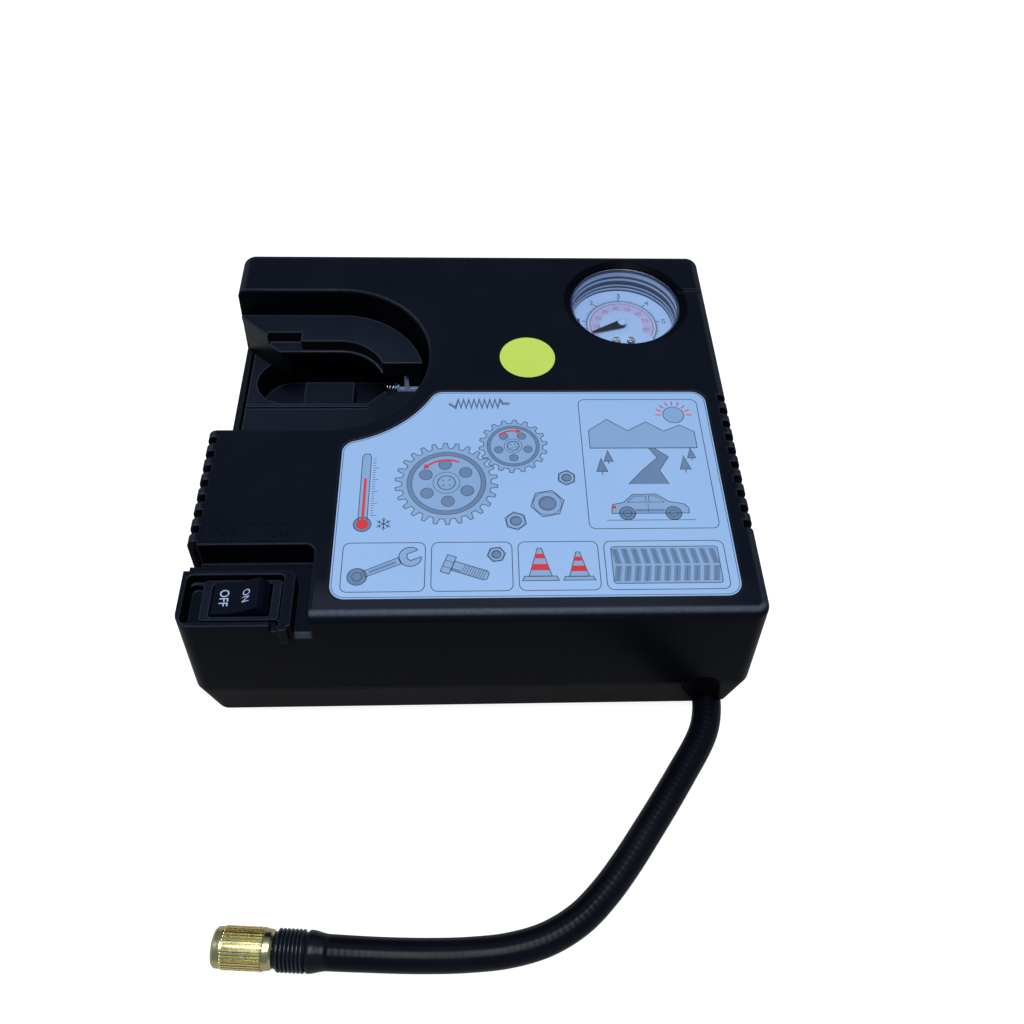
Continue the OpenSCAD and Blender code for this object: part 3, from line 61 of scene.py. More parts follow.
def make_camera():
    turn = Matrix.Rotation(YAW, 3, 'Z')
    ahead = turn @ Vector((0, math.cos(PITCH), -math.sin(PITCH)))
    side = turn @ Vector((1, 0, 0))
    up = turn @ Vector((0, math.sin(PITCH), math.cos(PITCH)))
    right = math.cos(ROLL) * side + math.sin(ROLL) * up
    top = -math.sin(ROLL) * side + math.cos(ROLL) * up
    data = bpy.data.cameras.new("camera")
    data.lens = 33.40
    data.sensor_width = 36.0
    data.clip_start = 0.01
    data.clip_end = 20.0
    obj = bpy.data.objects.new("camera", data)
    pose = Matrix.Identity(4)
    for row in range(3):
        pose[row] = right[row], top[row], -ahead[row], EYE[row]
    obj.matrix_world = pose
    scene.collection.objects.link(obj)
    scene.camera = obj


make_camera()


# ------------------------------------------------------- mesh helpers

def mesh_object(name, verts, faces, smooth=True, corner_uv=None):
    mesh = bpy.data.meshes.new(name)
    mesh.from_pydata([tuple(v) for v in verts], [], faces)
    mesh.update()
    if corner_uv:
        layer = mesh.uv_layers.new(name="UVMap")
        for corner, uv in zip(layer.data, corner_uv):
            corner.uv = uv
    mesh.polygons.foreach_set("use_smooth", [smooth] * len(mesh.polygons))
    obj = bpy.data.objects.new(name, mesh)
    scene.collection.objects.link(obj)
    return obj


def catmull(points, per):
    """A smooth line through the points, with per steps from each to the next."""
    out = []
    n = len(points)
    for i in range(n - 1):
        p0 = points[i - 1] if i > 0 else points[0] * 2 - points[1]
        p1, p2 = points[i], points[i + 1]
        p3 = points[i + 2] if i + 2 < n else points[n - 1] * 2 - points[n - 2]
        for k in range(per):
            t = k / per
            out.append(0.5 * (2 * p1 + (p2 - p0) * t + (2 * p0 - 5 * p1 + 4 * p2 - p3) * t * t
                              + (3 * p1 - p0 - 3 * p2 + p3) * t ** 3))
    out.append(points[-1].copy())
    return out


def frames_along(points):
    """Two directions across a line at each of its points, without twist along it."""
    n = len(points)
    tangents = [(points[min(i + 1, n - 1)] - points[max(i - 1, 0)]).normalized() for i in range(n)]
    side = tangents[0].orthogonal().normalized()
    out = []
    for t in tangents:
        side = (side - t * side.dot(t)).normalized()
        out.append((side, t.cross(side)))
    return out


def circle(centre, u, v, r, sides):
    angles = (math.tau * k / sides for k in range(sides))
    return [centre + u * (r * math.cos(a)) + v * (r * math.sin(a)) for a in angles]


def skin(rings, sides):
    """Faces of a tube through so many rings, with a cap at each end."""
    faces = []
    for i in range(rings - 1):
        for k in range(sides):
            a, b = i * sides + k, i * sides + (k + 1) % sides
            faces.append((a, b, b + sides, a + sides))
    last = (rings - 1) * sides
    return faces + [tuple(range(sides - 1, -1, -1)), tuple(range(last, last + sides))]


def sweep(name, points, radii, sides):
    """Tube along points, with UV: u round it, v the length along it. Gives its length too."""
    verts, corner_uv, runs = [], [], [0.0]
    for p, r, (u, v) in zip(points, radii, frames_along(points)):
        verts += circle(p, u, v, r, sides)
    for a, b in zip(points, points[1:]):
        runs.append(runs[-1] + (b - a).length)
    for low, high in zip(runs, runs[1:]):
        for k in range(sides):
            left, right = k / sides, (k + 1) / sides
            corner_uv += [(left, low), (right, low), (right, high), (left, high)]
    corner_uv += [(0.5, 0.0)] * sides + [(0.5, runs[-1])] * sides
    obj = mesh_object(name, verts, skin(len(points), sides), corner_uv=corner_uv)
    return obj, runs[-1]


def lathe(name, profile, sides, base, axis):
    """Solid of revolution: profile is (distance along axis, radius) pairs."""
    u = axis.orthogonal().normalized()
    v = axis.cross(u)
    verts = []
    for s, r in profile:
        verts += circle(base + axis * s, u, v, r, sides)
    return mesh_object(name, verts, skin(len(profile), sides))


def helix(name, base, axis, start, pitch, turns, radius, wire, per_turn, sides):
    """Wire wound round an axis, its first end at start along it."""
    u = axis.orthogonal().normalized()
    v = axis.cross(u)
    points = []
    for i in range(turns * per_turn + 1):
        a = math.tau * i / per_turn
        points.append(base + axis * (start * MM + pitch * MM * i / per_turn)
                      + u * (radius * MM * math.cos(a)) + v * (radius * MM * math.sin(a)))
    return sweep(name, points, [wire * MM / 2] * len(points), sides)[0]


# ------------------------------------------------------- material helpers

class Nodes:
    """A new material, and short ways to add nodes to it."""

    def __init__(self, name):
        self.mat = bpy.data.materials.new(name)
        self.mat.use_nodes = True
        self.tree = self.mat.node_tree
        self.bsdf = self.tree.nodes["Principled BSDF"]
        self.out = self.tree.nodes["Material Output"]

    def new(self, kind, **settings):
        node = self.tree.nodes.new(kind)
        for key, value in settings.items():
            if key in node.inputs:
                node.inputs[key].default_value = value
            else:
                setattr(node, key, value)
        return node

    def link(self, a, b):
        self.tree.links.new(a, b)

    def feed(self, socket, value):
        """Give an input another node's output, or a value."""
        if isinstance(value, bpy.types.NodeSocket):
            self.link(value, socket)
        else:
            socket.default_value = value

    def set(self, **values):
        """Feed the main shader's inputs."""
        for key, value in values.items():
            self.feed(self.bsdf.inputs[key.replace("_", " ")], value)

    def where(self):
        return self.new("ShaderNodeTexCoord").outputs["Object"]

    def axes(self, vector):
        split = self.new("ShaderNodeSeparateXYZ")
        self.link(vector, split.inputs[0])
        return split.outputs

    def noise(self, vector, scale, detail=3.0, rough=0.5):
        node = self.new("ShaderNodeTexNoise", Scale=scale, Detail=detail, Roughness=rough)
        self.link(vector, node.inputs["Vector"])
        return node.outputs["Fac"]

    def span(self, value, a0, a1, b0, b1):
        """A value that runs from a0 to a1, mapped to b0 to b1 and held at both ends."""
        node = self.new("ShaderNodeMapRange")
        for key, level in (("From Min", a0), ("From Max", a1), ("To Min", b0), ("To Max", b1)):
            node.inputs[key].default_value = level
        self.link(value, node.inputs["Value"])
        return node.outputs["Result"]

    def fade(self, value, zero, one):
        return self.span(value, zero, one, 0.0, 1.0)

    def spread(self, noise, low, high):
        """The middle of a noise's range, stretched over low to high."""
        return self.span(noise, 0.3, 0.7, low, high)

    def math(self, op, *values):
        node = self.new("ShaderNodeMath", operation=op)
        for socket, value in zip(node.inputs, values):
            self.feed(socket, value)
        return node.outputs[0]

    def times(self, a, b):
        return self.math('MULTIPLY', a, b)

    def radius(self, x, y):
        return self.math('SQRT', self.math('ADD', self.times(x, x), self.times(y, y)))

    def from_gauge(self, x, y):
        """Distance from the gauge's axis."""
        return self.radius(self.math('ADD', x, -GX * MM), self.math('ADD', y, -GY * MM))

    def mix(self, fac, a, b):
        """Two colours mixed."""
        node = self.new("ShaderNodeMix", data_type='RGBA')
        inputs = {socket.identifier: socket for socket in node.inputs}
        for key, value in (("Factor_Float", fac), ("A_Color", a), ("B_Color", b)):
            self.feed(inputs[key], value + (1.0,) if isinstance(value, tuple) else value)
        return next(s for s in node.outputs if s.identifier == "Result_Color")

    def mix_shaders(self, fac, a, b):
        node = self.new("ShaderNodeMixShader")
        for socket, value in zip(node.inputs, (fac, a, b)):
            self.link(value, socket)
        return node.outputs[0]

    def bump(self, height, strength, distance, normal=None):
        node = self.new("ShaderNodeBump", Strength=strength, Distance=distance)
        self.link(height, node.inputs["Height"])
        if normal is not None:
            self.link(normal, node.inputs["Normal"])
        return node.outputs["Normal"]

    def bevel(self, radius):
        return self.new("ShaderNodeBevel", Radius=radius, samples=4).outputs["Normal"]


# how far from the gauge's axis the dish gets painted shade, and where edges start and end to show
# painted highlight and wear
DISH_R, SHEEN_WEAR_FROM_R, SHEEN_WEAR_FULL_R = 25.6, 25.0, 26.0
# the dock's rim is left of and behind these
DOCK_X, DOCK_Y = -14.0, 14.0
# the strip before the label, lit by a painted sheen, comes in from STRIP_Y's first place to its
# second, starts at STRIP_LEFT, and goes out from STRIP_X's first place to its second
STRIP_Y, STRIP_LEFT, STRIP_X = (-71.0, -78.0), -50.5, (50.0, 88.0)
# painted shade: colours that darken the gauge's dish and the steep walls
DISH_SHADE_COLOUR, WALL_SHADE_COLOUR = (0.0008, 0.0010, 0.0030), (0.0006, 0.0006, 0.0012)


def painted_light_and_wear(n, v, base, speck, normal, bevel, edge_sheen_and_wear, front_sheen):
    """Over a base colour: painted highlight on edges, which also reads as wear; painted shade on
    walls and in the gauge's dish; a painted sheen on the front strip.
    """
    x, y, _ = n.axes(v)
    if front_sheen:
        # the dock's rim is rounder than the other edges
        rim = n.times(n.math('LESS_THAN', x, DOCK_X * MM), n.math('GREATER_THAN', y, DOCK_Y * MM))
        n.link(n.math('MULTIPLY_ADD', rim, bevel, bevel), normal.node.inputs["Radius"])
    _, back, rise = n.axes(normal)
    # painted highlight along edges that look upward, which also reads as wear
    edge = n.times(n.fade(rise, 0.70, 0.86), n.fade(rise, 0.996, 0.975))
    if front_sheen:
        # the edges towards the user get the most painted highlight
        edge = n.times(edge, n.span(back, -0.02, -0.20, 0.25, 1.0))
    out = n.from_gauge(x, y)
    edge = n.times(edge, n.fade(out, SHEEN_WEAR_FROM_R * MM, SHEEN_WEAR_FULL_R * MM))
    # painted shade in the gauge's dish
    dish = n.times(n.span(out, SHEEN_WEAR_FULL_R * MM, DISH_R * MM, 0.0, 0.85), n.fade(rise, 0.985, 0.95))
    base = n.mix(dish, base, DISH_SHADE_COLOUR)
    # painted shade on walls, the stronger the steeper they are
    base = n.mix(n.span(rise, 0.0, 0.6, 0.75, 0.0), base, WALL_SHADE_COLOUR)
    # painted sheen on the strip before the label
    if front_sheen:
        strip = n.times(n.fade(y, STRIP_Y[0] * MM, STRIP_Y[1] * MM),
                        n.span(x, STRIP_X[0] * MM, STRIP_X[1] * MM, 1.0, 0.15))
        strip = n.times(strip, n.fade(rise, 0.90, 0.99))
        strip = n.times(strip, n.math('GREATER_THAN', x, STRIP_LEFT * MM))
        base = n.mix(strip, base, front_sheen)
    return n.mix(n.times(edge, n.span(speck, 0.35, 0.65, 0.7, 1.0)), base, edge_sheen_and_wear)


def plastic(name, colour, tint, rough, grain=2400.0, grain_depth=0.00004, bevel=0.0004,
            spec=0.5, cloud=26.0, edge_sheen_and_wear=None, front_sheen=None):
    """Moulded plastic or rubber: fine grain, slow variation of colour and of gloss, rounded
    edges. A colour for the edges adds a painted highlight on them, which also reads as wear,
    and painted shade on walls and in the gauge's dish; a colour for the strip before the label is
    its painted sheen."""
    n = Nodes(name)
    v = n.where()
    slow = n.noise(v, cloud, 4.0, 0.6)
    fine = n.noise(v, grain, 2.0, 0.6)
    speck = n.noise(v, grain * 0.31, 3.0, 0.7)
    gloss = n.math('MULTIPLY_ADD', speck, 0.35, slow)
    base = n.mix(n.spread(slow, 0.0, 1.0), colour, tint)
    normal = n.bevel(bevel) if bevel else None
    if edge_sheen_and_wear:
        base = painted_light_and_wear(n, v, base, speck, normal, bevel, edge_sheen_and_wear, front_sheen)
    n.set(Base_Color=base, Roughness=n.span(gloss, 0.35, 0.95, rough - 0.05, rough + 0.07),
          Normal=n.bump(fine, 0.5, grain_depth, normal), Specular_IOR_Level=spec)
    return n.mat


def metal(name, colour, tint, rough):
    n = Nodes(name)
    v = n.where()
    slow = n.noise(v, 60.0, 4.0, 0.6)
    fine = n.noise(v, 900.0, 4.0, 0.6)
    n.set(Base_Color=n.mix(n.spread(slow, 0.0, 1.0), colour, tint), Metallic=1.0,
          Roughness=n.spread(fine, rough - 0.07, rough + 0.08),
          Normal=n.bump(fine, 0.4, 0.00002, n.bevel(0.00015)))
    return n.mat


# along the nut from the hose's end: where its knurling starts and stops, and how softly
KNURL_START, KNURL_STOP, KNURL_BLEND = 19.2, 31.9, 0.3
GROOVE_R, RIDGE_R = 6.12, 6.34


def knurled_brass(name):
    """Bright brass of the nut: pale rubbed ridges, dark tarnish in the grooves, duller collars."""
    n = Nodes(name)
    v = n.where()
    x, y, z = (n.math('ADD', axis, -at) for axis, at in zip(n.axes(v), TIP))
    c, s = math.cos(HEADING), math.sin(HEADING)
    along = n.math('ADD', n.times(x, c), n.times(y, s))
    across = n.math('SUBTRACT', n.times(y, c), n.times(x, s))
    slow = n.noise(v, 60.0, 4.0, 0.6)
    fine = n.noise(v, 500.0, 4.0, 0.6)
    knurl = n.times(n.fade(along, KNURL_START * MM, (KNURL_START + KNURL_BLEND) * MM),
                    n.fade(along, KNURL_STOP * MM, (KNURL_STOP - KNURL_BLEND) * MM))
    groove = n.times(knurl, n.span(n.radius(across, z), GROOVE_R * MM, RIDGE_R * MM, 1.0, 0.0))
    base = n.mix(n.spread(slow, 0.0, 1.0), (0.90, 0.79, 0.36), (0.96, 0.86, 0.46))
    base = n.mix(n.span(knurl, 0.0, 1.0, 1.0, 0.0), base, (0.62, 0.55, 0.28))
    base = n.mix(n.times(groove, n.spread(slow, 0.75, 1.0)), base, (0.38, 0.31, 0.11))
    n.set(Base_Color=base, Metallic=1.0, Roughness=n.spread(fine, 0.18, 0.32),
          Normal=n.bump(fine, 0.4, 0.0000005))
    return n.mat


# the lens's wall: its inner radius, its height over the dial, and the tone at each height, pale
# for painted reflection and dark for painted shade
WALL_R, WALL_H = 20.92, 10.6
DARK, MID, PALE = (0.012, 0.030, 0.085, 1), (0.17, 0.28, 0.52, 1), (0.56, 0.68, 0.92, 1)
WALL_TONES = [(0.0, DARK), (0.6, DARK), (0.8, MID), (1.4, PALE), (1.7, DARK), (2.5, DARK),
              (2.7, PALE), (3.1, PALE), (3.4, DARK), (4.9, DARK), (5.3, MID), (5.7, PALE),
              (6.2, PALE), (6.5, DARK), (7.1, DARK), (7.4, MID), (7.8, PALE), (9.3, PALE),
              (9.6, DARK), (10.2, DARK)]


def clear(name):
    """Clear plastic cup: see-through on top, with rings of painted reflection and painted shade
    round its stepped wall.
    """
    n = Nodes(name)
    v = n.where()
    n.set(Base_Color=(0.955, 0.975, 0.985, 1.0), IOR=1.49, Transmission_Weight=1.0,
          Roughness=n.spread(n.noise(v, 90.0), 0.015, 0.05),
          Normal=n.bump(n.noise(v, 420.0, 2.0), 0.1, 0.00003, n.bevel(0.00025)))
    path = n.new("ShaderNodeLightPath").outputs
    through = n.new("ShaderNodeBsdfTransparent", Color=(0.93, 0.95, 0.96, 1.0))
    cup = n.mix_shaders(n.math('MAXIMUM', path["Is Shadow Ray"], path["Is Diffuse Ray"]),
                        n.bsdf.outputs[0], through.outputs[0])
    x, y, z = n.axes(v)
    rise = n.math('ADD', z, -DIAL_Z * MM)
    wall = n.times(n.math('GREATER_THAN', n.from_gauge(x, y), WALL_R * MM),
                   n.math('LESS_THAN', rise, WALL_H * MM))
    tones = n.new("ShaderNodeValToRGB")
    elements = tones.color_ramp.elements
    while len(elements) < len(WALL_TONES):
        elements.new(0.5)
    for element, (height, colour) in zip(elements, WALL_TONES):
        element.position = height / WALL_H
        element.color = colour
    n.link(n.fade(rise, 0.0, WALL_H * MM), tones.inputs["Fac"])
    # painted reflection and painted shade: a matte shader in the ring tones mostly covers the
    # clear wall
    painted_rings = n.new("ShaderNodeBsdfPrincipled", Roughness=0.3)
    n.link(tones.outputs["Color"], painted_rings.inputs["Base Color"])
    n.link(n.mix_shaders(n.times(wall, 0.84), cup, painted_rings.outputs[0]), n.out.inputs["Surface"])
    return n.mat


def hose_rubber(name):
    """Black rubber over a braid: faint crossing diagonals that show through, and dust."""
    n = Nodes(name)
    strands = 8.0
    u, length, _ = n.axes(n.new("ShaderNodeTexCoord").outputs["UV"])
    turns = n.times(u, strands)
    run = n.times(length, strands / (math.tau * HOSE_R * MM))
    waves = []
    for op in ('ADD', 'SUBTRACT'):
        part = n.math('FRACT', n.math(op, run, turns))
        waves.append(n.math('SINE', n.times(part, math.tau)))
    weave = n.times(*waves)
    v = n.where()
    slow = n.noise(v, 40.0, 4.0, 0.6)
    fine = n.noise(v, 1800.0, 3.0, 0.6)
    base = n.mix(n.spread(slow, 0.0, 1.0), (0.0020, 0.0027, 0.0058), (0.0034, 0.0043, 0.0084))
    n.set(Base_Color=base, Roughness=n.spread(slow, 0.27, 0.37), Specular_IOR_Level=0.11,
          Normal=n.bump(fine, 0.4, 0.00004, n.bump(weave, 0.5, 0.00006)))
    return n.mat


# ------------------------------------------------------- materials

M = {
    "case": plastic("case_black", (0.0046, 0.0060, 0.0114), (0.0062, 0.0080, 0.0144), 0.25,
                    bevel=0.0010, spec=0.028, edge_sheen_and_wear=(0.074, 0.085, 0.117),
                    front_sheen=(0.017, 0.020, 0.029)),
    "base": plastic("case_base", (0.0030, 0.0034, 0.0048), (0.0042, 0.0047, 0.0064), 0.40,
                    bevel=0.0008, spec=0.028, edge_sheen_and_wear=(0.016, 0.018, 0.024)),
    "dark": plastic("inner_black", (0.0036, 0.0042, 0.0060), (0.0052, 0.0060, 0.0086), 0.42,
                    bevel=0.0007, spec=0.10),
    "rubber": plastic("rubber_black", (0.006, 0.006, 0.0065), (0.011, 0.011, 0.012), 0.62,
                      1600, 0.00006, 0.0003, spec=0.25),
    "rocker": plastic("rocker_black", (0.0026, 0.0038, 0.0095), (0.0040, 0.0056, 0.0130), 0.26,
                      3000, 0.00001, 0.0003, spec=0.08),
    "dock": plastic("dock_black", (0.0072, 0.0094, 0.0175), (0.0100, 0.0130, 0.0230), 0.30,
                    bevel=0.0008, spec=0.12, edge_sheen_and_wear=(0.070, 0.085, 0.135)),
    "bezel": plastic("bezel_black", (0.0054, 0.0076, 0.0160), (0.0070, 0.0096, 0.0200), 0.30,
                     bevel=0.0006, spec=0.12, edge_sheen_and_wear=(0.060, 0.075, 0.120)),
    "ledge": plastic("ledge_grey", (0.0080, 0.0112, 0.0200), (0.0110, 0.0152, 0.0262), 0.30,
                     bevel=0.0008, spec=0.12, edge_sheen_and_wear=(0.085, 0.100, 0.150)),
    "label": plastic("label_film", (0.315, 0.490, 0.770), (0.335, 0.510, 0.790), 0.34,
                     3000, 0.00001, 0.0001, spec=0.3, cloud=14),
    "sticker": plastic("sticker", (0.56, 0.71, 0.095), (0.61, 0.75, 0.125), 0.42,
                       2500, 0.00001, 0.0001, spec=0.3),
    "dial": plastic("dial_white", (0.46, 0.62, 0.94), (0.49, 0.66, 0.97), 0.45,
                    3000, 0.00001, 0.0001, spec=0.3),
    "catch": plastic("catch_blue", (0.34, 0.50, 0.78), (0.40, 0.57, 0.84), 0.36, spec=0.4),
    "white": plastic("seal_white", (0.74, 0.74, 0.72), (0.80, 0.80, 0.78), 0.45),
    "pale_mark": plastic("mark_pale", (0.40, 0.50, 0.72), (0.46, 0.56, 0.80), 0.45,
                         3000, 0.00001, 0.0),
    "red": plastic("wire_red", (0.35, 0.02, 0.02), (0.42, 0.03, 0.03), 0.4),
    "pointer": plastic("pointer_black", (0.0030, 0.0032, 0.0040), (0.0046, 0.0048, 0.0060),
                       0.34, 3000, 0.00001, 0.0002, spec=0.12),
    "wire": plastic("binding_cord", (0.006, 0.008, 0.015), (0.010, 0.013, 0.023), 0.19,
                    1500, 0.00002, 0.0),
    "sleeve": plastic("sleeve_rubber", (0.0052, 0.0062, 0.0100), (0.0076, 0.0088, 0.0135), 0.26,
                      900, 0.00012, 0.0003, spec=0.16),
    "hose": hose_rubber("hose_rubber"),
    "clear": clear("clear_plastic"),
    "nut": knurled_brass("brass_nut"),
    "steel": metal("steel", (0.50, 0.51, 0.53), (0.58, 0.59, 0.61), 0.30),
    "bright": metal("bright_steel", (0.72, 0.74, 0.77), (0.80, 0.82, 0.84), 0.16),
    "brass": metal("brass", (0.60, 0.43, 0.20), (0.70, 0.52, 0.27), 0.27),
    "alloy": metal("alloy", (0.52, 0.53, 0.55), (0.60, 0.61, 0.63), 0.38),
    "copper": metal("copper", (0.62, 0.28, 0.15), (0.72, 0.36, 0.20), 0.30),
    "iron": metal("dark_iron", (0.14, 0.14, 0.145), (0.20, 0.20, 0.205), 0.42),
}
for ink_name, colour, tint in (
        ("print_blue", (0.050, 0.075, 0.125), (0.065, 0.095, 0.150)),
        ("print_wash", (0.235, 0.375, 0.600), (0.255, 0.395, 0.620)),
        ("print_shade", (0.135, 0.215, 0.360), (0.150, 0.235, 0.385)),
        ("print_rose", (0.46, 0.12, 0.24), (0.50, 0.15, 0.27)),
        ("print_blush", (0.50, 0.50, 0.80), (0.53, 0.53, 0.83)),
        ("print_red", (0.60, 0.035, 0.045), (0.70, 0.05, 0.06))):
    M[ink_name] = plastic(ink_name, colour, tint, 0.38, 3000, 0.00001, 0.0, spec=0.3)

MADE_OF = {
    "case": "upper_shell",
    "base": "lower_shell",
    "dark": "motor_end_cap connecting_rod",
    "rubber": "feet power_gland gauge_tube motor_dampers outlet_tube air_hose hose_sleeve"
              " coupling_seal",
    "rocker": "switch_rocker",
    "dock": "dock_floor",
    "bezel": "switch_body",
    "ledge": "dock_ledge",
    "label": "label_plate",
    "sticker": "round_sticker",
    "dial": "gauge_dial pointer_cap",
    "catch": "bottle_catch",
    "white": "crank_gear piston_seal",
    "red": "wiring",
    "pointer": "gauge_pointer",
    "wire": "hose_binding",
    "clear": "gauge_lens",
    "nut": "coupling_nut",
    "steel": "case_screws gauge_can motor_can motor_shaft motor_pinion pump_screws crank_bearing"
             " crank_axle crank_pin valve_plate head_screws",
    "bright": "catch_spring dial_screws",
    "brass": "pointer_arbor sector_gear movement_plates bourdon_link gauge_stem switch_terminals"
             " motor_bushings hose_barb coupling_stem",
    "alloy": "pump_body cylinder cylinder_head air_manifold",
    "copper": "bourdon_tube commutator",
    "iron": "motor_magnets motor_core motor_brushes",
}
for key, names in MADE_OF.items():
    for node in names.split():
        data = nodes[node].data
        data.materials.clear()
        data.materials.append(M[key])


# ------------------------------------------------------- hose, the free cord

ROUTE = [(85.6, -46, 12.4), (85.6, -56, 12.4), (85.6, -64, 10.6), (85.6, -72, 7.6),
         (85.5, -80, 5.7), (84.9, -88, 5.2), (82.9, -95.2, 5.2), (79.3, -102, 5.2),
         (72.8, -111.4, 5.2), (65.4, -121.8, 5.2), (57.8, -132, 5.2), (49.8, -142.4, 5.2),
         (41.6, -151.8, 5.2), (32.8, -159.6, 5.2), (22, -165.3, 5.2), (9.8, -168.3, 5.2),
         (-3, -169.3, 5.3), (-15, -169.4, 5.7), (-26, -169.1, 6.2), (-37, -168.5, 6.5),
         HOSE_END]
SWELL, SWELL_POINTS = 0.14, 14      # how much the hose swells, over its last points
route = [Vector(p) * MM for p in ROUTE]
line = [Vector((p.x, p.y, max(p.z, HOSE_R * MM))) for p in catmull(route, 10)]
swell = [(HOSE_R + SWELL * max(0.0, 1 - i / SWELL_POINTS)) * MM
         for i in range(len(line) - 1, -1, -1)]
hose, hose_length = sweep("hose_cover", line, swell, 48)
hose.data.materials.append(M["hose"])
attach(hose, "case")
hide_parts("air_hose")

# sleeve and binding, on the coupling's axis
SLEEVE = [(0.02, 5.35), (0.6, 5.45), (1.4, 5.6), (2.4, 5.82), (3.3, 6.05), (4.1, 6.22),
          (4.8, 6.3), (5.5, 6.3), (5.9, 6.05), (6.1, 5.65), (6.4, 5.6), (15.5, 5.6),
          (16.0, 5.35), (16.2, 5.1)]
sleeve = lathe("sleeve_cover", [(s * MM, r * MM) for s, r in SLEEVE], 64, TIP, TIP_AXIS)
sleeve.data.materials.append(M["sleeve"])
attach(sleeve, "case")
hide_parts("hose_sleeve")

binding = helix("binding_wire", TIP, TIP_AXIS, start=6.8, pitch=1.25, turns=7, radius=6.04,
                wire=0.8, per_turn=48, sides=12)
binding.data.materials.append(M["wire"])
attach(binding, "case")
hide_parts("hose_binding")

# spring beside the catch
spring = helix("catch_coil", Vector((-35.25, 38.3, 42.55)) * MM, Vector((1, 0, 0)), start=0.0,
               pitch=3.8 / 3, turns=3, radius=1.55, wire=0.5, per_turn=32, sides=10)
spring.data.materials.append(M["bright"])
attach(spring, "case")
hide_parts("catch_spring")
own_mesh(spring)


# ------------------------------------------------------- words and marks

def words(name, text, fit, centre, mat, turn=0.0, body="case", slope=0.0, thick=0.02, thin=0.0):
    """A number or a generic word as a thin solid, fit = (width, height)."""
    data = bpy.data.curves.new(name, 'FONT')
    data.body = text
    data.size = 1.0
    data.resolution_u = 4
    data.offset = -thin
    data.extrude = 0.5
    holder = bpy.data.objects.new(name + "_text", data)
    scene.collection.objects.link(holder)
    bpy.context.view_layer.update()
    shown = holder.evaluated_get(bpy.context.evaluated_depsgraph_get())
    mesh = bpy.data.meshes.new_from_object(shown)
    bpy.data.objects.remove(holder)
    low = [min(v.co[i] for v in mesh.vertices) for i in range(3)]
    high = [max(v.co[i] for v in mesh.vertices) for i in range(3)]
    grow = [side / (b - a) * MM for side, a, b in zip((*fit, thick), low, high)]
    mesh.transform(Matrix.Translation([-(a + b) / 2 for a, b in zip(low, high)]))
    mesh.transform(Matrix.Diagonal(grow + [1]))
    spot = Matrix.Translation(Vector(centre) * MM)
    mesh.transform(spot @ Matrix.Rotation(slope, 4, 'Y') @ Matrix.Rotation(turn, 4, 'Z'))
    obj = bpy.data.objects.new(name, mesh)
    scene.collection.objects.link(obj)
    mesh.materials.clear()
    mesh.materials.append(mat)
    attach(obj, body)


def about(r, angle, cx=0.0, cy=0.0):
    """The point at a distance and an angle, in degrees, from a centre."""
    return cx + r * math.cos(math.radians(angle)), cy + r * math.sin(math.radians(angle))


